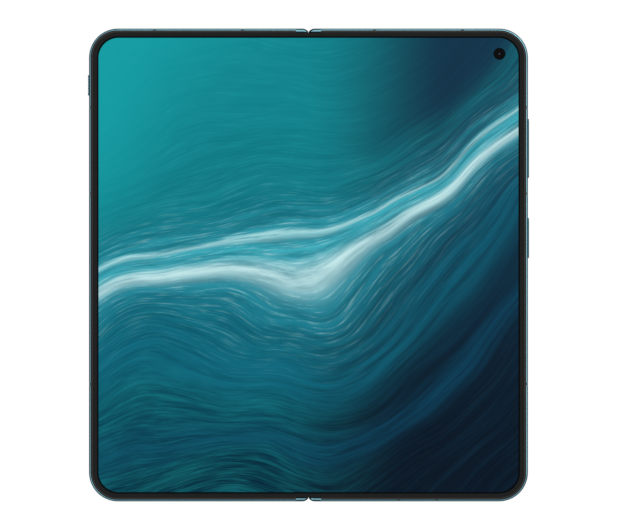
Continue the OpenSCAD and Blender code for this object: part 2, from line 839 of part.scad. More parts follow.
// One arm: knuckle on the shaft, cranked under the spine's rim, and a foot on the frame's floor
module hinge_arm(y) {
    y0 = arm_y0(y) + 0.05;
    y1 = y0 + arm_l - 0.15;
    difference() {
        union() {
            rod_y(axis_x, axis_z, knuckle_r, y0, y1);
            along_y(y0, y1) translate([axis_x, axis_z]) polygon([[-0.3, -0.85], [0.6, -0.7],
                [crank_x, arm_t - arm_drop], [arm_end_x - axis_x, arm_t - arm_drop],
                [arm_end_x - axis_x, -arm_drop], [crank_x + 0.2, -arm_drop]]);
        }
        rod_y(axis_x, axis_z, shaft_r + shaft_gap, y0 - 1, y1 + 1);
        for (p = screw_places()) translate([p[0], p[1], arm_z0 - 1]) cylinder(r = screw_r + 0.08, h = 3);
    }
}

module right_hinge_arms() {
    color("silver") for (y = module_ys) hinge_arm(y);
}

module left_hinge_arms() {
    color("silver") left_of() for (y = module_ys) hinge_arm(y);
}

module sync_gear(x, phase, y) {
    difference() {
        translate([x, arm_y0(y) + 0.05, axis_z]) rotate([90, 0, 0]) linear_extrude(gear_w) gear_outline(phase);
        rod_y(x, axis_z, shaft_r + shaft_gap, gear_y0(y) - 1, gear_y0(y) + gear_w + 1);
    }
}

module right_sync_gears() {
    color("gold") for (y = gear_ys) sync_gear(axis_x, right_phase, y);
}

module left_sync_gears() {
    color("gold") for (y = gear_ys) sync_gear(-axis_x, left_phase, y);
}

module idler(x, phase, y) {
    y0 = gear_y0(y) + 0.1;
    y1 = arm_y0(y) - 0.1;
    translate([x, y1, axis_z - idler_drop]) rotate([90, 0, 0]) linear_extrude(y1 - y0) gear_outline(phase);
    rod_y(x, axis_z - idler_drop, idler_axle_r, y0 - block_l, y0 + 1);
}

module right_idler_gears() {
    color("gold") for (y = gear_ys) idler(idler_x, right_idler_phase, y);
}

module left_idler_gears() {
    color("gold") for (y = gear_ys) idler(-idler_x, left_idler_phase, y);
}

module hinge_screws() {
    for (p = screw_places()) translate([p[0], p[1], 0]) {
        translate([0, 0, arm_z0 - 0.7]) cylinder(r = screw_r, h = arm_t + 0.75);
        difference() {
            translate([0, 0, arm_z0 + arm_t]) cylinder(r = screw_head_r, h = 0.35);
            translate([0, 0, arm_z0 + arm_t + 0.2]) cylinder(r = 0.3, h = 1, $fn = 6);
        }
    }
}

module right_hinge_screws() {
    color("gray") hinge_screws();
}

module left_hinge_screws() {
    color("gray") left_of() hinge_screws();
}

// Spine

module trough_outline(r) {
    intersection() {
        slot_outline(axis_x, r);
        translate([-10, -10]) square([20, 10]);
    }
}

module spine_cover() {
    color("darkcyan") difference() {
        translate([0, 0, axis_z]) along_y(-spine_y, spine_y) trough_outline(spine_r);
        translate([0, 0, axis_z]) along_y(-spine_y - 1, spine_y + 1) trough_outline(spine_r - spine_wall);
        block([-10, -spine_y - 1, axis_z - eps], [10, spine_y + 1, axis_z + 1]);
        // rim cut away where the arms pass
        for (y = module_ys) block([-10, arm_y0(y) - 0.15, arm_z0 - 0.1],
                                  [10, arm_y0(y) + arm_l + 0.15, axis_z + 1]);
    }
}

module spine_end_caps() {
    color("darkslategray") for (s = [-1, 1]) {
        low = s > 0 ? spine_y - cap_t : -spine_y;
        translate([0, 0, axis_z]) along_y(low, low + cap_t) {
            trough_outline(spine_r - spine_wall);
            translate([-centre_half, -0.5]) square([2 * centre_half, 0.5 + knuckle_r]);
        }
    }
}

// The walls that hold the shafts, three to a module, with a web on the spine's floor
module hinge_blocks() {
    color("gray") for (y = module_ys) difference() {
        union() {
            for (y0 = block_ys(y)) translate([0, 0, axis_z]) along_y(y0, y0 + block_l) union() {
                trough_outline(spine_r - spine_wall);
                for (s = [-1, 1]) translate([s * axis_x, 0]) circle(knuckle_r);
                translate([-axis_x, -0.5]) square([2 * axis_x, 0.5 + knuckle_r]);
            }
        }
        for (s = [-1, 1]) {
            rod_y(s * axis_x, axis_z, shaft_r + shaft_gap, y - module_l, y + module_l);
            if (abs(y) > 0) rod_y(s * idler_x, axis_z - idler_drop, idler_axle_r + shaft_gap,
                gear_y0(y) - block_l - 1, gear_y0(y) + 1);
        }
    }
}

function block_ys(y) = [y + module_l / 2 - block_l, gear_y0(y) - 0.1 - block_l, y - module_l / 2];

module hinge_shafts() {
    color("silver") for (y = module_ys, s = [-1, 1])
        rod_y(s * axis_x, axis_z, shaft_r, y - module_l / 2 + 0.1, y + module_l / 2 - 0.1);
}

// Stacks of friction discs between the lower two blocks of each module
module friction_discs() {
    y_low = -module_l / 2 + block_l;
    count = 9;
    step = (module_l - arm_l - gear_w - 3 * block_l - 0.1) / count;
    color("silver") for (y = module_ys, s = [-1, 1], i = [0:count - 1]) difference() {
        rod_y(s * axis_x, axis_z, knuckle_r - 0.05,
            y + y_low + step * i + 0.05, y + y_low + step * (i + 1) - 0.05);
        rod_y(s * axis_x, axis_z, shaft_r + 0.02, y - module_l, y + module_l);
    }
}

// Thin plate that carries the middle of the display over the shafts
module centre_plate() {
    color("silver") block([-centre_half, -bay_y + 0.25, axis_z + knuckle_r + 0.04],
        [centre_half, bay_y - 0.25, panel_z - 0.03]);
}

// Ribbon cables that lie folded in the trough between the modules
module hinge_flex_cables() {
    w = 14;
    z = axis_z - spine_r + spine_wall + 0.1;
    color("darkorange") for (y = [-module_pitch / 2, module_pitch / 2])
        block([-axis_x, y - w / 2, z], [axis_x, y + w / 2, z + 0.25]);
}

module wing_plate() {
    length = bay_y - 0.2;
    block([wing_inner_x, -length, pivot_z], [pivot_x, length, panel_z - 0.03]);
    rod_y(pivot_x, pivot_z, pivot_r, -bay_y - 0.4, bay_y + 0.4);
}

module right_wing_plate() {
    color("silver") wing_plate();
}

module left_wing_plate() {
    color("silver") left_of() wing_plate();
}

right_frame();
right_antenna_strips();
right_back_glass();
camera_deck();
camera_ring();
camera_glass();
rear_lens_rings();
rear_lens_windows();
rear_camera_modules();
flash_lens();
right_bezel();
right_display_backing();
right_display_panel();
inner_camera();
main_board();
board_shields();
right_battery();
usb_receptacle();
loudspeaker();
vibration_motor();
sim_reader();
key_switches();
right_hinge_arms();
right_sync_gears();
right_hinge_screws();
left_frame();
left_antenna_strips();
cover_glass();
cover_display_panel();
cover_camera();
earpiece();
left_bezel();
left_display_backing();
left_display_panel();
left_battery();
sub_board();
left_speaker();
slider_switch();
left_hinge_arms();
left_sync_gears();
left_hinge_screws();
spine_cover();
spine_end_caps();
hinge_blocks();
hinge_shafts();
friction_discs();
centre_plate();
display_fold_zone();
fold_bezel_strips();
hinge_flex_cables();
left_wing_plate();
right_wing_plate();
left_idler_gears();
right_idler_gears();
volume_rocker();
power_key();
alert_slider();
sim_tray();
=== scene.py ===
"""Dresses a book-style folding smartphone and sets it in a plain white studio.

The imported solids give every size. This script adds the pieces that bend with the fold, the optics
and the soft bezels as surfaces worked out with numpy, and gives each solid its finish.
"""

import logging
from collections.abc import Sequence
from dataclasses import dataclass, field
from enum import Enum
from functools import cached_property, reduce

import bmesh
import bpy
import numpy as np
from bpy.types import Material, Node, NodeSocket, Object
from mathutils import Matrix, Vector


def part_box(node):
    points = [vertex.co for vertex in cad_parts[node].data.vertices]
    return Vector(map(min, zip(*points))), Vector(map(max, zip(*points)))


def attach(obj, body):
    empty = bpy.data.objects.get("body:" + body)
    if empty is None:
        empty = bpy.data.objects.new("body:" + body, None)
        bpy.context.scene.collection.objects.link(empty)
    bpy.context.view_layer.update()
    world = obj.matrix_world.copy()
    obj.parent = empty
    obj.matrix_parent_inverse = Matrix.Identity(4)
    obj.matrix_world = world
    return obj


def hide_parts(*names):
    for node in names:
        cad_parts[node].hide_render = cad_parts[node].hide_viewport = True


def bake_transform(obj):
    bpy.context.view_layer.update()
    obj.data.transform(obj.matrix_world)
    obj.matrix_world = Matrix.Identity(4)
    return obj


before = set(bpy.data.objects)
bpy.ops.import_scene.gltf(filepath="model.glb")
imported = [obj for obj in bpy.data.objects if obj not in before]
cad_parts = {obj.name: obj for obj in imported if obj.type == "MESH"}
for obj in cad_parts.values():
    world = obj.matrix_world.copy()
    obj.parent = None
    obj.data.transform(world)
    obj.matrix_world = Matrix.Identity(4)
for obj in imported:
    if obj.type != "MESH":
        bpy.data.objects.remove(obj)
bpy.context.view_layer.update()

log = logging.getLogger("phone")
MM = 0.001
TURN = 2 * np.pi

# The two halves of the phone, with the direction of each along X
SIDES = (("left", -1.0), ("right", 1.0))
# The two ends of the fold, with the direction of each along Y
ENDS = (("lower", -1.0), ("upper", 1.0))
# Point attribute that keeps the place at rest of a piece that bends
REST_PLACE = "rest_place"

Colour = tuple[float, float, float]
Pair = tuple[float, float]
Value = float | Sequence[float] | NodeSocket


def srgb(red: int, green: int, blue: int) -> Colour:
    """Turns a screen colour into the linear colour that a shader takes.

    Args:
        red: Red, 0 to 255.
        green: Green, 0 to 255.
        blue: Blue, 0 to 255.

    Returns:
        The linear colour, each channel 0 to 1.
    """
    screen = np.array([red, green, blue]) / 255.0
    linear = np.where(screen <= 0.04045, screen / 12.92, ((screen + 0.055) / 1.055) ** 2.4)
    return tuple(float(c) for c in linear)


def dimmed(colour: Colour, by: float) -> Colour:
    """A colour at a share of its brightness, kept within white."""
    return tuple(min(1.0, c * by) for c in colour)


class Pattern(Enum):
    """Where a finish takes the coordinates of its pattern from."""

    SOLID = "solid"
    CARRIED = "carried"


class Graph:
    """One material's nodes, laid by short calls that hand back output sockets."""

    def __init__(self, name: str, pattern: Pattern = Pattern.SOLID) -> None:
        """Starts a material with one shader.

        Args:
            name: Name of the material.
            pattern: Whether the pattern lies fixed in space or is carried by the piece as it bends.
        """
        self.material: Material = bpy.data.materials.new(name)
        self.material.use_nodes = True
        self.tree = self.material.node_tree
        self.shader: Node = self.tree.nodes["Principled BSDF"]
        self.pattern = pattern

    def put(self, kind: str, inputs: dict[str | int, Value] | None = None, **settings: object) -> Node:
        """Adds a node.

        Args:
            kind: The node's type, without its ShaderNode prefix.
            inputs: A number, colour or socket for each input that isn't left alone.
            **settings: The node's own settings.

        Returns:
            The node.
        """
        node = self.tree.nodes.new("ShaderNode" + kind)
        for key, value in settings.items():
            setattr(node, key, value)
        self.feed(node, inputs or {})
        return node

    def feed(self, node: Node, inputs: dict[str | int, Value]) -> None:
        """Links or sets a node's inputs.

        Args:
            node: The node.
            inputs: A number, colour or socket for each input.
        """
        for key, value in inputs.items():
            socket = node.inputs[key]
            if isinstance(value, NodeSocket):
                self.tree.links.new(value, socket)
            elif socket.type == "RGBA" and not isinstance(value, (int, float)):
                socket.default_value = (*value[:3], 1.0)
            else:
                socket.default_value = value

    def surface(self, **inputs: Value) -> None:
        """Sets the shader's sockets, with underscores for the spaces in their names."""
        self.feed(self.shader, {key.replace("_", " "): value for key, value in inputs.items()})

    @cached_property
    def place(self) -> NodeSocket:
        """The point being shaded, in metres in the frame that every piece shares."""
        if self.pattern is Pattern.CARRIED:
            return self.put("Attribute", attribute_name=REST_PLACE).outputs["Vector"]
        return self.put("TexCoord").outputs["Object"]

    def scaled(self, *by: float) -> NodeSocket:
        """Scales the place by a factor on each axis."""
        return self.put("VectorMath", {0: self.place, 1: by}, operation="MULTIPLY").outputs[0]

    def axes(self, vector: NodeSocket) -> tuple[NodeSocket, NodeSocket, NodeSocket]:
        """Splits a vector into its three parts."""
        parts = self.put("SeparateXYZ", {0: vector}).outputs
        return parts[0], parts[1], parts[2]

    def math(self, operation: str, *values: Value) -> NodeSocket:
        """Adds one step of arithmetic and hands back its result."""
        return self.put("Math", dict(enumerate(values)), operation=operation).outputs[0]

    def wave(self, value: NodeSocket, pitch: float) -> NodeSocket:
        """A sine wave that repeats at every pitch of a value."""
        return self.math("SINE", self.math("MULTIPLY", value, TURN / pitch))

    def length(self, dx: NodeSocket, dy: NodeSocket) -> NodeSocket:
        """Length of a flat vector: the root of the sum of its squares."""
        squares = [self.math("MULTIPLY", part, part) for part in (dx, dy)]
        return self.math("SQRT", self.math("ADD", *squares))

    def away(self, *centres: Pair) -> NodeSocket:
        """Distance in plan from the place to the nearest of some upright axes.

        Args:
            *centres: Where the axes stand, in metres.

        Returns:
            The distance, in metres.
        """
        x, y, _ = self.axes(self.place)
        distances = [self.length(self.math("SUBTRACT", x, cx), self.math("SUBTRACT", y, cy))
                     for cx, cy in centres]
        return reduce(lambda first, second: self.math("MINIMUM", first, second), distances)

    def within(self, centre: Pair, half: Pair, radius: float) -> NodeSocket:
        """How far the place lies inside a rounded rectangle in plan.

        Each coordinate's excess over the half size of the rectangle's core is kept where it is
        positive. The length of the two is the corner radius all along the outline, so the result is
        the radius less that length.

        Args:
            centre: Centre of the rectangle, in metres.
            half: Half sizes, in metres.
            radius: Corner radius, in metres.

        Returns:
            The distance from the outline, positive inside, in metres.
        """
        over = []
        for value, middle, reach in zip(self.axes(self.place), centre, half):
            aside = self.math("ABSOLUTE", self.math("SUBTRACT", value, middle))
            over.append(self.math("MAXIMUM", self.math("SUBTRACT", aside, reach - radius), 0.0))
        return self.math("SUBTRACT", radius, self.length(*over))

    def span(self, value: Value, low: float, high: float,
             start: float = 0.0, end: float = 1.0) -> NodeSocket:
        """Carries a value smoothly from one level to another, also where low is above high.

        Args:
            value: What is measured.
            low: Where the change starts.
            high: Where it ends.
            start: Result on the near side of low.
            end: Result beyond high.

        Returns:
            The result.
        """
        inputs = {"Value": value, "From Min": low, "From Max": high, "To Min": start, "To Max": end}
        return self.put("MapRange", inputs, interpolation_type="SMOOTHSTEP").outputs[0]

    def between(self, value: NodeSocket, low: float, high: float, soft: float) -> NodeSocket:
        """One where a value lies between two limits, falling to nothing beyond them.

        Args:
            value: What is measured.
            low: Lower limit.
            high: Upper limit.
            soft: Width over which it falls away.

        Returns:
            The factor, 0 to 1.
        """
        above, below = self.span(value, low - soft, low), self.span(value, high + soft, high)
        return self.math("MULTIPLY", above, below)

    def noise(self, vector: NodeSocket, scale: float,
              detail: float = 3.0, rough: float = 0.5) -> NodeSocket:
        """Cloudy noise between 0 and 1."""
        inputs = {"Vector": vector, "Scale": scale, "Detail": detail, "Roughness": rough}
        return self.put("TexNoise", inputs).outputs[0]

    def mix(self, factor: Value, low: Value, high: Value) -> NodeSocket:
        """Mixes two colours and hands back the result."""
        node = self.put("Mix", data_type="RGBA")
        self.feed(node, {0: factor, 6: low, 7: high})
        return node.outputs[2]

    def shade(self, colour: Colour, by: NodeSocket, low: float, high: float) -> NodeSocket:
        """Varies one colour between two brightnesses.

        Args:
            colour: The middle colour.
            by: The pattern, 0 to 1.
            low: Brightness where the pattern is 0.
            high: Brightness where it is 1.

        Returns:
            The varied colour.
        """
        return self.mix(by, dimmed(colour, low), dimmed(colour, high))

    def bump(self, height: NodeSocket, depth: float, strength: float = 1.0) -> NodeSocket:
        """Turns a height between 0 and 1 into a normal, with the full depth in metres."""
        inputs = {"Height": height, "Distance": depth, "Strength": strength}
        return self.put("Bump", inputs).outputs[0]


@dataclass(frozen=True)
class Finish:
    """A material that is made once and shared by the pieces that have it."""

    name: str

    def material(self, pattern: Pattern = Pattern.SOLID) -> Material:
        """Makes the material, or hands back the one made before.

        Args:
            pattern: Where the pattern's coordinates come from.

        Returns:
            The material.
        """
        label = f"{self.name}_{pattern.value}"
        made = bpy.data.materials.get(label)
        if made is None:
            graph = Graph(label, pattern)
            self.lay(graph)
            made = graph.material
        return made

    def lay(self, g: Graph) -> None:
        """Lays the nodes of this finish."""
        raise NotImplementedError


@dataclass(frozen=True)
class BlastedMetal(Finish):
    """Anodised aluminium, bead blasted to an even satin grain."""

    colour: Colour
    roughness: float = 0.3
    grain: float = 0.08 * MM
    pit: float = 0.004 * MM

    def lay(self, g: Graph) -> None:
        """Lays a fine isotropic grain over the dye."""
        fine = self.fine(g)
        self.blast(g, self.dye(g), fine, fine)

    def fine(self, g: Graph) -> NodeSocket:
        """The grain that the beads leave, 0 to 1."""
        return g.noise(g.place, 1 / self.grain, 2.0)

    def dye(self, g: Graph) -> NodeSocket:
        """The colour, with a faint cloud of dye."""
        return g.shade(self.colour, g.noise(g.place, 60.0, 3.0), 0.93, 1.07)

    def blast(self, g: Graph, colour: NodeSocket, fine: NodeSocket, height: NodeSocket) -> None:
        """Sets the shader up as blasted metal.

        Args:
            g: The material's nodes.
            colour: Its colour.
            fine: The grain, which its shine follows.
            height: Its height, 1 being one pit above 0.
        """
        g.surface(Base_Color=colour, Metallic=1.0, Normal=g.bump(height, self.pit, 0.5),
                  Roughness=g.span(fine, 0.3, 0.7, self.roughness - 0.05, self.roughness + 0.06))


@dataclass(frozen=True)
class KeyMetal(BlastedMetal):
    """The metal of a key, with painted shade where the key's ends turn into its slot."""

    ends: Pair = (0.0, 0.0)
    reach: float = 0.26 * MM
    soft: float = 0.08 * MM
    # colour of the painted shade at the key's ends
    dark: Colour = srgb(10, 26, 32)

    def lay(self, g: Graph) -> None:
        """Paints shade on the places that lie within reach of the lower or the upper end."""
        _, y, _ = g.axes(g.place)
        low, high = self.ends
        away = g.math("MINIMUM", g.math("SUBTRACT", y, low), g.math("SUBTRACT", high, y))
        # painted shade: the key darkens towards its ends, where they meet the slot
        end_shade_mask = g.span(away, self.reach + self.soft, self.reach, 0.0, 0.92)
        fine = self.fine(g)
        self.blast(g, g.mix(end_shade_mask, self.dye(g), self.dark), fine, fine)
        g.surface(Specular_Tint=self.colour)


@dataclass(frozen=True)
class BandMetal(BlastedMetal):
    """The blasted metal of the band: a line cut round its front edge with painted shade in it, a painted
    highlight line along its flat, painted highlight on the hinge ends.

    The painted shade of the outer rounded edge, the cut, the painted highlight line and the painted shade
    of the join with the rim each start and end at an inset from the outline.
    """

    # colour of the painted highlight line along the flat of the front
    land_highlight: Colour = srgb(112, 152, 164)
    # colour of the painted highlight on the hinge leaves
    pale: Colour = srgb(104, 146, 158)
    # dark colour of the painted shade at the outer edge, the cut, the join with the rim, the recess and the
    # edge beside the fold
    deep: Colour = srgb(20, 66, 76)
    half: Pair = (71.2 * MM, 76.7 * MM)
    corner: float = 9.4 * MM
    axis_x: float = 2.0 * MM
    notch_r: float = 2.324 * MM
    front_z: float = 7.0 * MM
    # insets of the painted shade on the outer edge, the cut, the painted highlight line and the painted
    # shade of the join with the rim
    brow_shade: Pair = (0.16 * MM, 0.26 * MM)
    cut: Pair = (0.27 * MM, 0.33 * MM)
    highlight_line: Pair = (0.37 * MM, 0.52 * MM)
    seam_shade: Pair = (0.53 * MM, 0.58 * MM)
    leaf_x: float = 4.2 * MM
    leaf_y: float = 1.75 * MM
    leaf_inset: Pair = (0.4 * MM, 0.46 * MM)
    # depths of the painted shade in the recess behind the leaves, then insets and reach of the painted
    # shade on the outer edge beside the fold
    recess_y: Pair = (1.0 * MM, 1.07 * MM)
    edge: Pair = (0.1 * MM, 0.42 * MM)
    edge_x: Pair = (4.6 * MM, 3.4 * MM)
    soft: float = 0.05 * MM

    def lay(self, g: Graph) -> None:
        """Measures the inset from the outline, notches included, and places each part of the edge, with its
        painted shade and painted highlight, by it.
        """
        _, _, z = g.axes(g.place)
        inset = self.inset(g)
        # the painted shade and painted highlight below lie only on the front, above front_z
        front = g.span(z, self.front_z, self.front_z + 0.2 * MM)
        cut = g.between(inset, *self.cut, self.soft)
        dyed = self.dye(g)
        # painted shade: the outermost rounded edge darkens towards deep, where it turns away
        colour = g.mix(g.span(inset, *reversed(self.brow_shade), 0.0, 0.75), dyed, self.deep)
        # painted highlight: a paler line along the flat of the front
        colour = g.mix(g.between(inset, *self.highlight_line, 0.04 * MM), colour, self.land_highlight)
        # painted shade in the cut; the bump below grooves the same line
        colour = g.mix(g.math("MULTIPLY", cut, 0.7), colour, self.deep)
        # painted shade: the join with the rim darkens almost to black
        colour = g.mix(g.span(inset, *self.seam_shade), colour, dimmed(self.deep, 0.3))
        for part, shown in self.hinge_ends(g, inset):
            colour = g.mix(shown, colour, part)
        fine, groove = self.fine(g), g.math("MULTIPLY", g.math("MULTIPLY", cut, front), 2.0)
        self.blast(g, g.mix(front, dyed, colour), fine, g.math("SUBTRACT", fine, groove))
        g.surface(Specular_Tint=self.colour)

    def hinge_ends(self, g: Graph, inset: NodeSocket) -> list[tuple[Colour, NodeSocket]]:
        """Finds the two leaves beside each notch with their painted highlight, the painted shade in the
        recess behind them and the painted shade on their outer edge.

        Args:
            g: The material's nodes.
            inset: The inset from the outline.

        Returns:
            The colour of each part, and how much of it is seen.
        """
        x, y, _ = g.axes(g.place)
        aside, depth = g.math("ABSOLUTE", x), g.math("SUBTRACT", self.half[1], g.math("ABSOLUTE", y))
        end = g.span(depth, self.leaf_y + self.soft, self.leaf_y - self.soft)
        near = g.math("MULTIPLY", g.span(aside, self.leaf_x + self.soft, self.leaf_x - self.soft), end)
        far = g.math("MULTIPLY", g.span(aside, *self.edge_x), end)
        # painted highlight on the flat leaves
        leaf_highlight = g.math("MULTIPLY", near, g.span(inset, *self.leaf_inset))
        # painted shade in the recess behind the leaves
        recess_shade = g.math("MULTIPLY", near, g.span(depth, *self.recess_y))
        # painted shade on the outer edge beside the fold
        edge = g.math("MULTIPLY", far, g.between(inset, *self.edge, 1.2 * self.soft))
        return [(self.pale, leaf_highlight), (dimmed(self.deep, 0.1), recess_shade), (dimmed(self.deep, 0.5), edge)]

    def inset(self, g: Graph) -> NodeSocket:
        """How far a place lies inside the outline of the open phone.

        Away from the fold it is the inset from a rounded rectangle. Beside the fold it is the lesser of
        that and the inset from the notch's circle.

        Args:
            g: The material's nodes.

        Returns:
            The inset, in metres.
        """
        x, y, _ = g.axes(g.place)
        outer = g.within((0.0, 0.0), self.half, self.corner)
        dx = g.math("SUBTRACT", g.math("ABSOLUTE", x), self.axis_x)
        dy = g.math("SUBTRACT", g.math("ABSOLUTE", y), self.half[1] - self.notch_r)
        notch = g.math("MINIMUM", outer, g.math("SUBTRACT", self.notch_r, g.length(dx, dy)))
        beside = g.math("MULTIPLY", g.math("LESS_THAN", dx, 0.0), g.math("GREATER_THAN", dy, 0.0))
        return g.math("MULTIPLY_ADD", beside, g.math("SUBTRACT", notch, outer), outer)


class Grain(Enum):
    """The way that the marks of a tool run over a metal piece."""

    ALONG_X = (40.0, 1500.0, 1500.0)
    ALONG_Y = (1500.0, 40.0, 1500.0)
    ALONG_Z = (1500.0, 1500.0, 40.0)


@dataclass(frozen=True)
class BrushedMetal(Finish):
    """Bare or plated metal with the fine lines of milling, rolling or grinding."""

    colour: Colour
    grain: Grain = Grain.ALONG_Y
    roughness: float = 0.28
    depth: float = 0.004 * MM

    def lay(self, g: Graph) -> None:
        """Stretches noise along the grain for lines, with a few deeper scores among them."""
        lines = g.noise(g.scaled(*self.grain.value), 4.0, 4.0, 0.65)
        scores = g.span(g.noise(g.scaled(*self.grain.value), 1.1, 1.0), 0.62, 0.7)
        wear = g.noise(g.place, 220.0, 4.0)
        height = g.math("SUBTRACT", lines, g.math("MULTIPLY", scores, 0.4))
        g.surface(Base_Color=g.shade(self.colour, wear, 0.88, 1.08), Metallic=1.0,
                  Roughness=g.span(lines, 0.25, 0.75, self.roughness - 0.07, self.roughness + 0.1),
                  Normal=g.bump(height, self.depth, 0.6))


@dataclass(frozen=True)
class TurnedMetal(Finish):
    """Metal turned on a lathe, with rings about one or more upright axes."""

    colour: Colour
    centres: tuple[Pair, ...]
    pitch: float = 0.12 * MM
    roughness: float = 0.2

    def lay(self, g: Graph) -> None:
        """Measures the distance to the nearest axis and cuts a groove at every pitch of it."""
        height = g.span(g.wave(g.away(*self.centres), self.pitch), -1.0, 1.0)
        haze = g.noise(g.place, 900.0, 3.0)
        g.surface(Base_Color=g.shade(self.colour, haze, 0.92, 1.06), Metallic=1.0,
                  Roughness=g.span(haze, 0.2, 0.8, self.roughness - 0.04, self.roughness + 0.08),
                  Normal=g.bump(height, 0.006 * MM, 0.5))


@dataclass(frozen=True)
class SoftPolymer(Finish):
    """Matt elastomer or moulded plastic with a spark-eroded grain."""

    colour: Colour
    roughness: float = 0.55
    gloss: float = 0.12
    grain: float = 0.06 * MM
    relief: float = 0.006 * MM

    def lay(self, g: Graph) -> None:
        """Raises a fine pebble grain and lets the shine vary a little with its cloud."""
        pebble = g.put("TexVoronoi", {"Vector": g.place, "Scale": 1 / self.grain}).outputs["Distance"]
        g.surface(Base_Color=self.tone(g), Specular_IOR_Level=self.gloss,
                  Roughness=g.span(self.cloud(g), 0.3, 0.7, self.roughness - 0.05, self.roughness + 0.07),
                  Normal=g.bump(pebble, self.relief, 0.5))

    def cloud(self, g: Graph) -> NodeSocket:
        """Slow wear and handling marks, 0 to 1."""
        return g.noise(g.place, 150.0, 4.0)

    def tone(self, g: Graph) -> NodeSocket:
        """The colour, with the cloud in it."""
        return g.shade(self.colour, self.cloud(g), 0.9, 1.12)


@dataclass(frozen=True)
class RimPolymer(SoftPolymer):
    """The soft rim's polymer: painted highlight along its shoulder, painted shade where it meets the band
    and at its inner foot.
    """

    # colour of the painted highlight on the shoulder
    pale: Colour = srgb(62, 58, 55)
    # colour of the painted shade next to the band and at the foot
    shade_tint: Colour = srgb(6, 7, 7)
    half: Pair = (71.2 * MM, 76.7 * MM)
    corner: float = 9.4 * MM
    seam_shade: Pair = (0.8 * MM, 0.88 * MM)
    shoulder_highlight: Pair = (0.92 * MM, 1.08 * MM)
    foot_half: Pair = (68.56 * MM, 74.26 * MM)
    foot_corner: float = 6.8 * MM

    def tone(self, g: Graph) -> NodeSocket:
        """Finds the shoulder's painted highlight and the painted shade next to the band by their inset from
        the outline, the painted shade of the foot by a smaller one.
        """
        inset = g.within((0.0, 0.0), self.half, self.corner)
        # painted highlight: the outer shoulder is paler, as if lit
        colour = g.mix(g.between(inset, *self.shoulder_highlight, 0.12 * MM), super().tone(g), self.pale)
        # painted shade where the rim meets the band
        seam_shade = g.span(inset, *reversed(self.seam_shade))
        # painted shade at the inner foot, where the rim steps down to the display
        foot = g.span(g.within((0.0, 0.0), self.foot_half, self.foot_corner), -0.05 * MM, 0.05 * MM)
        return g.mix(g.math("MAXIMUM", seam_shade, foot), colour, self.shade_tint)


@dataclass(frozen=True)
class SatinGlass(Finish):
    """Frosted glass over a dyed film: painted glints of pale points in the colour, under a soft sheen."""

    colour: Colour
    deep: Colour
    roughness: float = 0.34

    def lay(self, g: Graph) -> None:
        """Drifts the dye slowly across the panel and scatters fine painted glints in it."""
        drift = g.noise(g.scaled(1.0, 0.35, 1.0), 7.0, 1.0)
        glint_cells = g.put("TexVoronoi", {"Vector": g.place, "Scale": 9000.0}).outputs["Distance"]
        # painted highlight: small pale glints in the base colour
        glint = g.span(glint_cells, 0.16, 0.02, 0.0, 0.35)
        dye = g.mix(g.span(drift, 0.3, 0.7), self.deep, self.colour)
        frost = g.noise(g.place, 14000.0, 2.0)
        glint_tint = tuple(min(1.0, c * 2.2 + 0.03) for c in self.colour)
        g.surface(Base_Color=g.mix(glint, dye, glint_tint),
                  Metallic=0.35, Specular_IOR_Level=0.5, Coat_Weight=0.3, Coat_Roughness=0.3,
                  Roughness=g.span(frost, 0.3, 0.7, self.roughness - 0.05, self.roughness + 0.05),
                  Normal=g.bump(frost, 0.0015 * MM, 0.5))


@dataclass(frozen=True)
class PrintedPanel:
    """The display that shows faintly through a dark glass, as a rounded rectangle."""

    centre: Pair
    half: Pair
    corner: float
    colour: Colour = srgb(17, 21, 26)


@dataclass(frozen=True)
class DarkGlass(Finish):
    """Polished black glass, printed on its back, with a round window where light passes."""

    colour: Colour
    roughness: float = 0.06
    window: Pair | None = None
    window_r: float = 1.9 * MM
    panel: PrintedPanel | None = None

    def lay(self, g: Graph) -> None:
        """Marks the round window and the edge of the display under the glass by distance fields."""
        smear = g.noise(g.scaled(1.0, 0.4, 1.0), 90.0, 5.0, 0.6)
        colour: Value = g.shade(self.colour, smear, 0.8, 1.25)
        if self.panel is not None:
            inside = g.within(self.panel.centre, self.panel.half, self.panel.corner)
            colour = g.mix(g.span(inside, -0.05 * MM, 0.05 * MM), colour, self.panel.colour)
        if self.window is not None:
            away = g.away(self.window)
            edge = g.math("ABSOLUTE", g.math("SUBTRACT", away, self.window_r))
            glass = g.span(away, self.window_r * 0.55, self.window_r * 0.5)
            colour = g.mix(g.span(edge, 0.12 * MM, 0.04 * MM), colour, srgb(44, 50, 58))
            colour = g.mix(glass, colour, srgb(24, 34, 58))
        g.surface(Base_Color=colour, Specular_IOR_Level=0.14,
                  Roughness=g.span(smear, 0.35, 0.75, self.roughness * 0.6, self.roughness * 1.8))


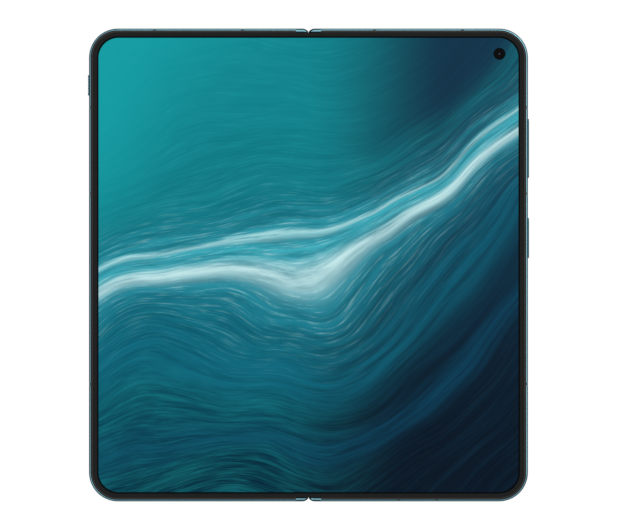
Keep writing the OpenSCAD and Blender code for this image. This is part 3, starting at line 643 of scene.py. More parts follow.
@dataclass(frozen=True)
class CircuitBoard(Finish):
    """Green laminate with copper traces under the mask and tinned pads."""

    colour: Colour = srgb(16, 62, 44)

    def lay(self, g: Graph) -> None:
        """Draws traces as nested diamonds about scattered points, and pads as a brick pattern in fields."""
        cells = g.put("TexVoronoi", {"Vector": g.place, "Scale": 620.0}, distance="MANHATTAN",
                      feature="F1").outputs["Distance"]
        trace = g.span(g.math("PINGPONG", cells, 0.09), 0.03, 0.045)
        pads = g.put("TexBrick", {"Vector": g.place, "Scale": 420.0, "Mortar Size": 0.09,
                                  "Color1": (1.0, 1.0, 1.0), "Color2": (0.1, 0.1, 0.1),
                                  "Mortar": (0.0, 0.0, 0.0)})
        fields = g.span(g.noise(g.place, 130.0, 1.0), 0.58, 0.6)
        pad = g.math("MULTIPLY", g.span(pads.outputs["Color"], 0.3, 0.6), fields)
        mask = g.shade(self.colour, trace, 0.8, 1.7)
        g.surface(Base_Color=g.mix(pad, mask, srgb(196, 190, 170)), Metallic=pad, Specular_IOR_Level=0.5,
                  Roughness=g.span(pad, 0.0, 1.0, 0.42, 0.25),
                  Normal=g.bump(g.math("MAXIMUM", trace, pad), 0.03 * MM, 0.6))


@dataclass(frozen=True)
class PouchFoil(Finish):
    """Dark laminated foil of a battery pouch, with shallow wrinkles."""

    colour: Colour = srgb(58, 60, 64)

    def lay(self, g: Graph) -> None:
        """Folds noise into sharp creases, over a weave as fine as the foil's embossing."""
        warp = g.noise(g.place, 60.0, 4.0, 0.55)
        crease = g.math("PINGPONG", g.math("MULTIPLY", warp, 3.0), 1.0)
        emboss = g.put("TexVoronoi", {"Vector": g.place, "Scale": 2600.0}).outputs["Distance"]
        height = g.math("ADD", crease, g.math("MULTIPLY", emboss, 0.08))
        g.surface(Base_Color=g.shade(self.colour, crease, 0.85, 1.15), Metallic=0.75,
                  Roughness=g.span(emboss, 0.2, 0.8, 0.3, 0.46), Normal=g.bump(height, 0.06 * MM, 0.5))


@dataclass(frozen=True)
class StampedTin(Finish):
    """Tinned steel can with a field of small pressed dimples."""

    colour: Colour = srgb(186, 188, 190)
    pitch: float = 1.3 * MM

    def lay(self, g: Graph) -> None:
        """Multiplies two sine waves for the dimples, and hazes the tin between them."""
        x, y, _ = g.axes(g.place)
        waves = g.math("MULTIPLY", g.wave(x, self.pitch), g.wave(y, self.pitch))
        dimple = g.span(waves, 0.55, 0.95)
        haze = g.noise(g.place, 500.0, 4.0)
        g.surface(Base_Color=g.shade(self.colour, haze, 0.82, 1.05), Metallic=1.0,
                  Roughness=g.span(haze, 0.2, 0.8, 0.26, 0.42),
                  Normal=g.bump(g.math("SUBTRACT", 1.0, dimple), 0.05 * MM, 0.7))


@dataclass(frozen=True)
class FlexFilm(Finish):
    """Amber film with copper tracks along X."""

    colour: Colour = srgb(176, 96, 28)
    copper: Colour = srgb(120, 62, 24)
    pitch: float = 0.5 * MM

    def lay(self, g: Graph) -> None:
        """Repeats a track at every pitch of Y."""
        _, y, _ = g.axes(g.place)
        track = g.span(g.wave(y, self.pitch), -0.15, 0.25)
        haze = g.noise(g.place, 400.0, 3.0)
        g.surface(Base_Color=g.mix(track, g.shade(self.colour, haze, 0.8, 1.15), self.copper),
                  Metallic=g.math("MULTIPLY", track, 0.3), Specular_IOR_Level=0.5,
                  Roughness=g.span(haze, 0.2, 0.8, 0.28, 0.4), Normal=g.bump(track, 0.02 * MM, 0.6))


@dataclass(frozen=True)
class CoatedLens(Finish):
    """Glass of a small lens: near black inside, with a coloured coating towards its rim."""

    centres: tuple[Pair, ...]
    radius: float
    coating: Colour = srgb(34, 54, 112)
    barrel: Colour = srgb(3, 4, 5)
    thread: Colour = srgb(20, 22, 26)
    iris: Colour = srgb(3, 3, 5)
    threads: float = 7.32

    def lay(self, g: Graph) -> None:
        """Rings the iris, the barrel and the coating by the distance to the nearest axis."""
        part = g.math("DIVIDE", g.away(*self.centres), self.radius)
        rings = g.span(g.wave(part, 1 / self.threads), 0.2, 0.9, 0.0, 0.5)
        coated = g.mix(g.span(part, 0.62, 0.3), g.mix(rings, self.barrel, self.thread), self.coating)
        iris = g.mix(g.span(part, 0.3, 0.16), coated, self.iris)
        dust = g.noise(g.place, 2500.0, 3.0)
        g.surface(Base_Color=iris, Specular_IOR_Level=0.3, Roughness=g.span(dust, 0.3, 0.8, 0.02, 0.06),
                  Coat_Weight=0.1, Coat_Roughness=0.02)


@dataclass(frozen=True)
class FlashPlastic(Finish):
    """Clear ribbed plastic over a pale yellow emitter."""

    centre: Pair
    radius: float
    colour: Colour = srgb(212, 208, 196)
    emitter: Colour = srgb(226, 202, 116)
    pitch: float = 0.25 * MM

    def lay(self, g: Graph) -> None:
        """Puts a square emitter under the middle and grooves the plastic in rings."""
        sides = [g.math("ABSOLUTE", g.math("SUBTRACT", value, middle))
                 for value, middle in zip(g.axes(g.place), self.centre)]
        square = g.span(g.math("MAXIMUM", *sides), self.radius * 0.55, self.radius * 0.45)
        haze = g.noise(g.place, 1200.0, 3.0)
        rings = g.span(g.wave(g.away(self.centre), self.pitch), -1.0, 1.0)
        g.surface(Base_Color=g.mix(square, g.shade(self.colour, haze, 0.9, 1.05), self.emitter),
                  Specular_IOR_Level=0.6, Roughness=g.span(haze, 0.3, 0.7, 0.12, 0.22),
                  Normal=g.bump(rings, 0.03 * MM, 0.5))


@dataclass(frozen=True)
class Ribbon:
    """One ribbon of the display's picture: where it lies across the sweep, how wide and how strong."""

    level: float
    width: float
    tint: Colour
    strength: float


@dataclass(frozen=True)
class LitDisplay(Finish):
    """The folding display, lit: ribbons of silk from aqua to navy inside an unlit black border."""

    half: Pair = (68.1 * MM, 73.66 * MM)
    corner: float = 6.5 * MM
    hole: Pair = (61.95 * MM, 68.5 * MM)
    hole_r: float = 1.93 * MM
    border: Colour = srgb(4, 6, 7)
    unit: float = 70.0 * MM
    ribbons: tuple[Ribbon, ...] = (
        Ribbon(0.5, 0.1, srgb(24, 140, 150), 0.35), Ribbon(0.12, 0.24, srgb(26, 132, 154), 0.85),
        Ribbon(0.17, 0.13, srgb(70, 186, 200), 0.75), Ribbon(0.1, 0.035, srgb(214, 244, 244), 0.85),
        Ribbon(0.24, 0.014, srgb(190, 236, 238), 0.7), Ribbon(-0.26, 0.12, srgb(14, 104, 128), 0.7),
        Ribbon(-0.62, 0.08, srgb(12, 74, 102), 0.7))
    spray: Ribbon = Ribbon(0.14, 0.22, srgb(196, 238, 240), 0.75)

    def lay(self, g: Graph) -> None:
        """Lights the picture inside a rounded rectangle, leaving out a disc round the camera."""
        lit = g.span(g.within((0.0, 0.0), self.half, self.corner), -0.08 * MM, 0.08 * MM)
        clear = g.span(g.away(self.hole), self.hole_r - 0.06 * MM, self.hole_r + 0.06 * MM)
        haze = g.noise(g.place, 70.0, 4.0)
        g.surface(Base_Color=srgb(2, 2, 3), Specular_IOR_Level=0.012, Emission_Strength=1.0,
                  Emission_Color=g.mix(g.math("MULTIPLY", lit, clear), self.border, self.picture(g)),
                  Roughness=g.span(haze, 0.3, 0.8, 0.14, 0.2))

    def picture(self, g: Graph) -> NodeSocket:
        """Draws folds of silk that sweep up from the lower left.

        The place is bent by slow noise and a sine wave, and then measured across the sweep. Fine threads
        come from noise stretched along the sweep, and each ribbon is a bell curve of the distance from
        its own wavy line.

        Args:
            g: The material's nodes.

        Returns:
            The colour of the picture.
        """
        by = 1 / self.unit
        unit = g.scaled(by, by, by)
        slow = g.noise(unit, 0.9, 2.0, 0.4)
        x, y, _ = g.axes(unit)
        bend = g.math("MULTIPLY", g.math("SUBTRACT", slow, 0.5), 0.8)
        sway = g.math("MULTIPLY", g.math("SINE", g.math("MULTIPLY_ADD", x, 2.3, 0.7)), 0.27)
        across = g.math("ADD", g.math("ADD", g.math("MULTIPLY_ADD", x, -0.6, y), sway), bend)
        threads = self.threads(g, x, across, 2.2, 26.0)
        hairs = self.threads(g, x, across, 7.0, 110.0)
        dye = self.dye(g, x, across, threads, hairs)
        shade = g.span(g.math("MULTIPLY_ADD", slow, 0.5, g.math("MULTIPLY_ADD", y, -0.12, x)), 0.1, 0.85)
        colour = g.mix(shade, dye, self.dusk(g, y, threads))
        for ribbon in self.ribbons:
            seen = self.ribbon(g, across, threads, ribbon)
            colour = g.mix(g.math("MULTIPLY", seen, ribbon.strength), colour, ribbon.tint)
        bright = g.math("MULTIPLY", g.span(hairs, 0.5, 0.78), self.ribbon(g, across, threads, self.spray))
        return g.mix(g.math("MULTIPLY", bright, self.spray.strength), colour, self.spray.tint)

    def dye(self, g: Graph, x: NodeSocket, across: NodeSocket, threads: NodeSocket,
            hairs: NodeSocket) -> NodeSocket:
        """The lit side of the silk, from teal above to deep blue below, with paler threads and hairs.

        Args:
            g: The material's nodes.
            x: Place across the picture.
            across: Place across the sweep.
            threads: The threads, 0 to 1.
            hairs: The finer threads, 0 to 1.

        Returns:
            The colour.
        """
        dye = g.mix(g.span(across, -0.9, -0.1), srgb(4, 40, 58), srgb(8, 84, 102))
        dye = g.mix(g.span(across, -0.1, 1.0), dye, srgb(14, 128, 138))
        dye = g.mix(g.span(g.math("SUBTRACT", across, x), 1.1, 2.3, 0.0, 0.8), dye, srgb(20, 164, 170))
        dye = g.mix(g.span(threads, 0.35, 0.75, 0.0, 0.3), dye, srgb(28, 150, 158))
        return g.mix(g.span(hairs, 0.42, 0.72, 0.0, 0.22), dye, srgb(30, 164, 172))

    def dusk(self, g: Graph, y: NodeSocket, threads: NodeSocket) -> NodeSocket:
        """The shaded side of the silk, navy that darkens downwards, with a few blue threads.

        Args:
            g: The material's nodes.
            y: Place up the picture.
            threads: The threads, 0 to 1.

        Returns:
            The colour.
        """
        navy = g.mix(g.span(y, -1.0, 1.0), srgb(9, 22, 36), srgb(19, 52, 74))
        return g.mix(g.span(threads, 0.4, 0.8, 0.0, 0.25), navy, srgb(20, 70, 98))

    def ribbon(self, g: Graph, across: NodeSocket, threads: NodeSocket, ribbon: Ribbon) -> NodeSocket:
        """A bell curve of the distance from a ribbon's line, thinned where the threads part.

        Args:
            g: The material's nodes.
            across: Place across the sweep.
            threads: The threads, 0 to 1.
            ribbon: The ribbon.

        Returns:
            How much of the ribbon is seen, 0 to 1.
        """
        wavy = g.math("MULTIPLY_ADD", threads, 0.08, ribbon.level - 0.04)
        part = g.math("DIVIDE", g.math("SUBTRACT", across, wavy), ribbon.width)
        bell = g.math("EXPONENT", g.math("MULTIPLY", g.math("MULTIPLY", part, part), -1.0))
        return g.math("MULTIPLY", bell, g.span(threads, 0.3, 0.66, 0.3, 1.0))

    def threads(self, g: Graph, along: NodeSocket, across: NodeSocket, slow: float,
                quick: float) -> NodeSocket:
        """Noise drawn out into threads.

        Args:
            g: The material's nodes.
            along: Place along the sweep.
            across: Place across it.
            slow: Changes along the threads.
            quick: Changes across them.

        Returns:
            The threads, 0 to 1.
        """
        drawn = g.put("CombineXYZ", {0: g.math("MULTIPLY", along, slow),
                                     1: g.math("MULTIPLY", across, quick)})
        return g.noise(drawn.outputs[0], 1.0, 7.0, 0.62)


# Finishes of this phone

TEAL = srgb(70, 106, 117)
BAND = BandMetal("band_metal", TEAL)
TEAL_METAL = BlastedMetal("teal_metal", TEAL)
ANTENNA = SoftPolymer("antenna_plastic", srgb(44, 78, 88), 0.4, 0.4)
SPINE_METAL = BrushedMetal("spine_metal", srgb(52, 110, 120), Grain.ALONG_Y, 0.22)
SOFT_RIM = RimPolymer("soft_rim", srgb(24, 24, 24), 0.5, 0.08)
BLACK_PLASTIC = SoftPolymer("black_plastic", srgb(22, 23, 25), 0.5, 0.35)
BLACK_BARREL = SoftPolymer("black_barrel", srgb(7, 7, 8), 0.6, 0.03)
BACK_GLASS = SatinGlass("back_glass", srgb(24, 112, 118), srgb(18, 94, 104))
HINGE_STEEL = BrushedMetal("hinge_steel", srgb(176, 176, 174), Grain.ALONG_X)
BLOCK_STEEL = BrushedMetal("block_steel", srgb(126, 126, 128), Grain.ALONG_Z, 0.36)
SHAFT_STEEL = BrushedMetal("shaft_steel", srgb(200, 200, 198), Grain.ALONG_Y, 0.16)
GEAR_BRONZE = BrushedMetal("gear_bronze", srgb(196, 160, 96), Grain.ALONG_Y, 0.24)
DISC_STEEL = BrushedMetal("disc_steel", srgb(96, 96, 98), Grain.ALONG_Z, 0.3)
SCREW_STEEL = BrushedMetal("screw_steel", srgb(70, 72, 76), Grain.ALONG_X, 0.24)
PLATE_STEEL = BrushedMetal("plate_steel", srgb(150, 152, 154), Grain.ALONG_Y, 0.3)
PORT_STEEL = BrushedMetal("port_steel", srgb(168, 170, 172), Grain.ALONG_Y, 0.24)
MOTOR_STEEL = BrushedMetal("motor_steel", srgb(190, 192, 194), Grain.ALONG_X, 0.2)
READER_STEEL = StampedTin("reader_steel", srgb(172, 174, 176))
SHIELD_TIN = StampedTin("shield_tin")
CONTACT_GOLD = BrushedMetal("contact_gold", srgb(212, 170, 86), Grain.ALONG_Y, 0.2)
BOARD = CircuitBoard("board")
POUCH = PouchFoil("pouch_foil")
FLEX = FlexFilm("flex_film")
DISPLAY = LitDisplay("lit_display")
DARK_PANEL = DarkGlass("cover_panel", srgb(14, 17, 22), 0.12)


def key_metal(node: str) -> KeyMetal:
    """The finish of one key, with painted shade at its ends where the key ends.

    Args:
        node: Name of the key's solid.

    Returns:
        The finish.
    """
    low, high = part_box(node)
    return KeyMetal(f"{node}_metal", srgb(54, 94, 108), 0.26, ends=(low.y, high.y))


# Surfaces


def skin(name: str, grid: np.ndarray, wrap: bool = False, ends: bool = False) -> Object:
    """Makes a mesh object from a grid of points.

    Neighbours in the grid are joined by four-sided faces. Where the grid comes to a point or meets
    itself, the doubled points are merged, and every face is turned outwards.

    Args:
        name: Name of the object and its mesh.
        grid: Points in metres, rows by columns by three.
        wrap: Whether the last column joins the first.
        ends: Whether the first and the last row are closed by a face.

    Returns:
        The object, linked to the scene.
    """
    rows, columns = grid.shape[:2]
    index = np.arange(rows * columns).reshape(rows, columns)
    if wrap:
        index = np.hstack([index, index[:, :1]])
    corners = [index[:-1, :-1], index[:-1, 1:], index[1:, 1:], index[1:, :-1]]
    faces = np.stack(corners, -1).reshape(-1, 4).tolist()
    if ends:
        faces += [index[0, :columns][::-1].tolist(), index[-1, :columns].tolist()]
    return solid(name, grid.reshape(-1, 3), faces)


def solid(name: str, points: np.ndarray, faces: list[list[int]]) -> Object:
    """Makes a mesh object with merged doubles and faces turned outwards.

    Args:
        name: Name of the object and its mesh.
        points: Points in metres.
        faces: Point numbers of each face.

    Returns:
        The object, linked to the scene.
    """
    mesh = bpy.data.meshes.new(name)
    mesh.from_pydata(points.tolist(), [], faces)
    work = bmesh.new()
    work.from_mesh(mesh)
    bmesh.ops.remove_doubles(work, verts=work.verts, dist=1e-7)
    bmesh.ops.recalc_face_normals(work, faces=work.faces)
    work.to_mesh(mesh)
    work.free()
    mesh.shade_smooth()
    mesh.set_sharp_from_angle(angle=np.radians(40))
    piece = bpy.data.objects.new(name, mesh)
    bpy.context.scene.collection.objects.link(piece)
    return piece


def remember_place(piece: Object) -> None:
    """Stores each point's place at rest, which the finish keeps to when the piece bends.

    Args:
        piece: The piece, at rest.
    """
    place = np.empty(len(piece.data.vertices) * 3, np.float32)
    piece.data.vertices.foreach_get("co", place)
    stored = piece.data.attributes.new(REST_PLACE, "FLOAT_VECTOR", "POINT")
    stored.data.foreach_set("vector", place)


def revolved(profile: np.ndarray, centre: Pair, steps: int = 64) -> np.ndarray:
    """Turns a closed profile about an upright axis.

    A point at radius r and height z goes to centre + r (cos a, sin a) at the same height, for a whole
    turn of a.

    Args:
        profile: Radius and height of each point, in metres.
        centre: The axis, in metres.
        steps: Points round the axis.

    Returns:
        The grid, which ends on the column that it starts on.
    """
    turn = np.linspace(0.0, TURN, steps + 1)
    radius, height = profile[:, :1], profile[:, 1:]
    return np.stack([centre[0] + radius * np.cos(turn), centre[1] + radius * np.sin(turn),
                     height + 0 * turn], -1)


def boxes(lows: np.ndarray, highs: np.ndarray) -> tuple[np.ndarray, list[list[int]]]:
    """Points and faces of many separate boxes.

    Args:
        lows: Lowest corner of each box.
        highs: Highest corner of each box.

    Returns:
        The points of all the boxes, and their faces.
    """
    corner = np.array([[i, j, k] for i in (0, 1) for j in (0, 1) for k in (0, 1)])
    points = lows[:, None] + corner[None] * (highs - lows)[:, None]
    sides = np.array([[0, 1, 3, 2], [4, 6, 7, 5], [0, 4, 5, 1], [2, 3, 7, 6], [0, 2, 6, 4], [1, 5, 7, 3]])
    faces = sides[None] + 8 * np.arange(len(lows))[:, None, None]
    return points.reshape(-1, 3), faces.reshape(-1, 4).tolist()


def shoulder(centre: Pair, size: Pair, start: float, end: float, steps: int = 7) -> np.ndarray:
    """An arc of an ellipse in a profile, from one angle in degrees to another.

    Args:
        centre: Centre of the ellipse.
        size: Its two half axes.
        start: First angle.
        end: Last angle.
        steps: Number of points.

    Returns:
        The points.
    """
    angle = np.radians(np.linspace(start, end, steps))
    return np.stack([centre[0] + size[0] * np.cos(angle), centre[1] + size[1] * np.sin(angle)], -1)


def drawn_across(across: np.ndarray, section: np.ndarray) -> np.ndarray:
    """Carries a section straight along X.

    Args:
        across: X of each row.
        section: Y and Z of each point of the section.

    Returns:
        The grid, with one row for each X and one column for each point of the section.
    """
    shape = (len(across), len(section))
    return np.concatenate([np.broadcast_to(across[:, None, None], (*shape, 1)),
                           np.broadcast_to(section[None], (*shape, 2))], -1)


def smooth_joined() -> bpy.types.NodeTree:
    """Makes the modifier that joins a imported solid's loose triangles and rounds its shading.

    Points at one place are merged, every face is smooth, and each edge sharper than 32 degrees stays
    an edge.

    Returns:
        The geometry node group.
    """
    tree = bpy.data.node_groups.get("smooth_joined")
    if tree is not None:
        return tree
    tree = bpy.data.node_groups.new("smooth_joined", "GeometryNodeTree")
    tree.interface.new_socket("Geometry", in_out="INPUT", socket_type="NodeSocketGeometry")
    tree.interface.new_socket("Geometry", in_out="OUTPUT", socket_type="NodeSocketGeometry")
    start, end = tree.nodes.new("NodeGroupInput"), tree.nodes.new("NodeGroupOutput")
    join = tree.nodes.new("GeometryNodeMergeByDistance")
    join.inputs["Distance"].default_value = 1e-6
    faces = tree.nodes.new("GeometryNodeSetShadeSmooth")
    edges = tree.nodes.new("GeometryNodeSetShadeSmooth")
    edges.domain = "EDGE"
    edges.inputs["Shade Smooth"].default_value = False
    angle = tree.nodes.new("GeometryNodeInputMeshEdgeAngle")
    sharp = tree.nodes.new("FunctionNodeCompare")
    sharp.operation = "GREATER_THAN"
    sharp.inputs[1].default_value = float(np.radians(32))
    for before, after in ((start, join), (join, faces), (faces, edges), (edges, end), (angle, sharp)):
        tree.links.new(before.outputs[0], after.inputs[0])
    tree.links.new(sharp.outputs[0], edges.inputs["Selection"])
    return tree


@dataclass
class SubAssembly:
    """A group of pieces that are built and finished together."""

    def finishes(self) -> dict[str, Finish]:
        """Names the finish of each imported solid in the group."""
        return {}

    def build(self) -> list[Object]:
        """Makes the pieces that the group adds."""
        return []

    def dress(self) -> None:
        """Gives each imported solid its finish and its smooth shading."""
        for name, finish in self.finishes().items():
            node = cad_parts[name]
            node.data.materials.clear()
            node.data.materials.append(finish.material())
            shading = node.modifiers.new("smooth_joined", "NODES")
            shading.node_group = smooth_joined()
            log.info("%s finished in %s", name, finish.name)

    def add(self, piece: Object, finish: Finish, slot: str, body: str, stands_for: tuple[str, ...] = (),
            pattern: Pattern = Pattern.SOLID) -> Object:
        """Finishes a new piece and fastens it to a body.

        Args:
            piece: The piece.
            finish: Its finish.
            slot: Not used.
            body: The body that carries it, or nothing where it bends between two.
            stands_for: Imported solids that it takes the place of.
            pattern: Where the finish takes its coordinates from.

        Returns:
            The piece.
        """
        piece.data.materials.append(finish.material(pattern))
        if body:
            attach(piece, body)
        if stands_for:
            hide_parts(*stands_for)
        log.info("%s built with %d faces in %s", piece.name, len(piece.data.polygons), finish.name)
        return piece


@dataclass
class FoldingDisplay(SubAssembly):
    """The lit display: two stiff halves and the two sheets between them that bend with the fold."""

    steps: int = 48
    columns: int = 8

    def finishes(self) -> dict[str, Finish]:
        """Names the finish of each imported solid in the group."""
        made: dict[str, Finish] = {"centre_plate": PLATE_STEEL}
        for side, _ in SIDES:
            made |= {f"{side}_display_panel": DISPLAY, f"{side}_display_backing": PLATE_STEEL,
                     f"{side}_wing_plate": HINGE_STEEL}
        return made

    def build(self) -> list[Object]:
        """Makes both bending sheets."""
        return [self.sheet(side, sign) for side, sign in SIDES]

    def sheet(self, side: str, sign: float) -> Object:
        """Makes one bending sheet: a flat rectangle of constant thickness, cut finely across the fold.

        Args:
            side: Which half it joins.
            sign: Direction of that half.

        Returns:
            The sheet.
        """
        low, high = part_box("display_fold_zone")
        across = np.linspace(0.0, high.x, self.steps) * sign
        run = np.linspace(low.y, high.y, self.columns)
        loop = np.vstack([np.stack([run, np.full_like(run, high.z)], -1),
                          np.stack([run[::-1], np.full_like(run, low.z)], -1)])
        grid = drawn_across(across, loop)
        piece = skin(f"{side}_fold_sheet", grid, wrap=True, ends=True)
        remember_place(piece)
        self.add(piece, DISPLAY, "display", "", ("display_fold_zone",), Pattern.CARRIED)
        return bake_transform(piece)


@dataclass
class Bezels(SubAssembly):
    """The soft raised rim round the display, and its thin strips across the fold."""

    corner_r: float = 8.75 * MM
    foot: float = 0.85 * MM
    width: float = 2.0 * MM
    lip: float = 0.22 * MM
    outer_round: Pair = (0.24 * MM, 0.17 * MM)
    inner_round: Pair = (0.1 * MM, 0.09 * MM)
    strip_size: Pair = (1.27 * MM, 0.17 * MM)
    strip_round: Pair = (0.1 * MM, 0.08 * MM)
    arc_steps: int = 20
    strip_steps: int = 28

    def build(self) -> list[Object]:
        """Makes the rim of each half, and two strips for each half."""
        pieces = [self.rim(side, sign) for side, sign in SIDES]
        for side, sign in SIDES:
            pieces += [self.strip(side, sign, end, up) for end, up in ENDS]
        return pieces

    def rim_profile(self, low: float, high: float) -> np.ndarray:
        """Section of the rim: a foot in the frame's groove under a lip with rounded shoulders.

        Args:
            low: Height of the foot's underside.
            high: Height of the lip's crown.

        Returns:
            Distance inwards from the rim's outer edge, and height, of each point.
        """
        under = high - self.lip
        (outer_w, outer_h), (inner_w, inner_h) = self.outer_round, self.inner_round
        outer = shoulder((outer_w, high - outer_h), self.outer_round, 180, 90)
        inner = shoulder((self.width - inner_w, high - inner_h), self.inner_round, 90, 0)
        foot = [(self.width, under), (self.foot, under), (self.foot, low)]
        return np.vstack([[(0.0, low)], outer, inner, foot])

    def rim(self, side: str, sign: float) -> Object:
        """Carries the rim's section round the three outer edges of a half.

        The path runs straight from the fold, a quarter turn round the corner, straight along the side
        and back. Each point of the section stands at its distance along the path's inward normal.

        Args:
            side: Which half.
            sign: Direction of that half.

        Returns:
            The rim.
        """
        low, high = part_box("right_bezel")
        r = self.corner_r
        turn = np.radians(np.linspace(0, 90, self.arc_steps))
        outward = np.stack([np.sin(turn), -np.cos(turn)], -1)
        lower = np.array([high.x - r, low.y + r]) + r * outward
        upper = lower[::-1] * (1, -1)
        outward_upper = outward[::-1] * (1, -1)
        path = np.vstack([[(low.x, low.y)], lower, upper, [(low.x, high.y)]])
        normal = -np.vstack([[(0.0, -1.0)], outward, outward_upper, [(0.0, 1.0)]])
        section = self.rim_profile(low.z, high.z)
        plan = path[:, None] + normal[:, None] * section[None, :, :1]
        height = np.broadcast_to(section[None, :, 1:], (len(path), len(section), 1))
        grid = np.concatenate([plan, height], -1) * (sign, 1, 1)
        piece = skin(f"{side}_soft_rim", grid, wrap=True, ends=True)
        return self.add(piece, SOFT_RIM, "bezel", f"{side}_half", (f"{side}_bezel",))

    def strip(self, side: str, sign: float, end: str, up: float) -> Object:
        """Makes the strip that carries the rim on to the middle of the fold.

        Args:
            side: Which half.
            sign: Direction of that half.
            end: Which end of the fold.
            up: Direction of that end.

        Returns:
            The strip.
        """
        _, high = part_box("fold_bezel_strips")
        width, thick = self.strip_size
        round_w, round_h = self.strip_round
        inner, bottom, level = high.y - width, high.z - thick, high.z - round_h
        section = np.vstack([shoulder((high.y - round_w, level), self.strip_round, 0, 90),
                             shoulder((inner + round_w, level), self.strip_round, 90, 180),
                             [(inner, bottom), (high.y, bottom)]])
        grid = drawn_across(np.linspace(0.0, high.x, self.strip_steps) * sign, section * (up, 1.0))
        piece = skin(f"{side}_{end}_fold_strip", grid, wrap=True, ends=True)
        remember_place(piece)
        self.add(piece, SOFT_RIM, "bezel", "", ("fold_bezel_strips",), Pattern.CARRIED)
        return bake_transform(piece)


@dataclass
class RightHalf(SubAssembly):
    """The half with the rear cameras and the keys."""

    def finishes(self) -> dict[str, Finish]:
        """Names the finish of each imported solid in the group."""
        return {"right_frame": BAND, "right_antenna_strips": ANTENNA, "right_back_glass": BACK_GLASS,
                "volume_rocker": key_metal("volume_rocker"), "power_key": key_metal("power_key"),
                "sim_tray": TEAL_METAL, "sim_reader": READER_STEEL, "main_board": BOARD,
                "board_shields": SHIELD_TIN, "key_switches": CONTACT_GOLD, "right_battery": POUCH,
                "loudspeaker": BLACK_PLASTIC, "vibration_motor": MOTOR_STEEL, "inner_camera": BLACK_BARREL}


@dataclass
class LeftHalf(SubAssembly):
    """The half with the cover display and the alert slider."""

    cover_camera: Pair = (-36.0 * MM, 70.2 * MM)
    border: Pair = (3.2 * MM, 1.8 * MM)
    border_shift: float = -1.5 * MM
    border_corner: float = 7.5 * MM

    def finishes(self) -> dict[str, Finish]:
        """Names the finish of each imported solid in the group."""
        low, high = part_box("cover_glass")
        panel = PrintedPanel(((low.x + high.x) / 2 + self.border_shift, 0.0),
                             ((high.x - low.x) / 2 - self.border[0], high.y - self.border[1]),
                             self.border_corner)
        glass = DarkGlass("cover_glass", srgb(9, 10, 12), 0.05, self.cover_camera, panel=panel)
        return {"left_frame": BAND, "left_antenna_strips": ANTENNA, "cover_glass": glass,
                "cover_display_panel": DARK_PANEL, "cover_camera": BLACK_PLASTIC, "earpiece": BLACK_PLASTIC,
                "left_battery": POUCH, "sub_board": BOARD, "left_speaker": BLACK_PLASTIC,
                "slider_switch": BLACK_PLASTIC, "alert_slider": key_metal("alert_slider")}


@dataclass
class Hinge(SubAssembly):
    """The spine with its shafts, gears, discs and arms."""

    def finishes(self) -> dict[str, Finish]:
        """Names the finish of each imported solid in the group."""
        made: dict[str, Finish] = {"spine_cover": SPINE_METAL, "spine_end_caps": BLACK_PLASTIC,
                                   "hinge_blocks": BLOCK_STEEL, "hinge_shafts": SHAFT_STEEL,
                                   "friction_discs": DISC_STEEL, "hinge_flex_cables": FLEX}
        for side, _ in SIDES:
            made |= {f"{side}_hinge_arms": HINGE_STEEL, f"{side}_sync_gears": GEAR_BRONZE,
                     f"{side}_idler_gears": GEAR_BRONZE, f"{side}_hinge_screws": SCREW_STEEL}
        return made


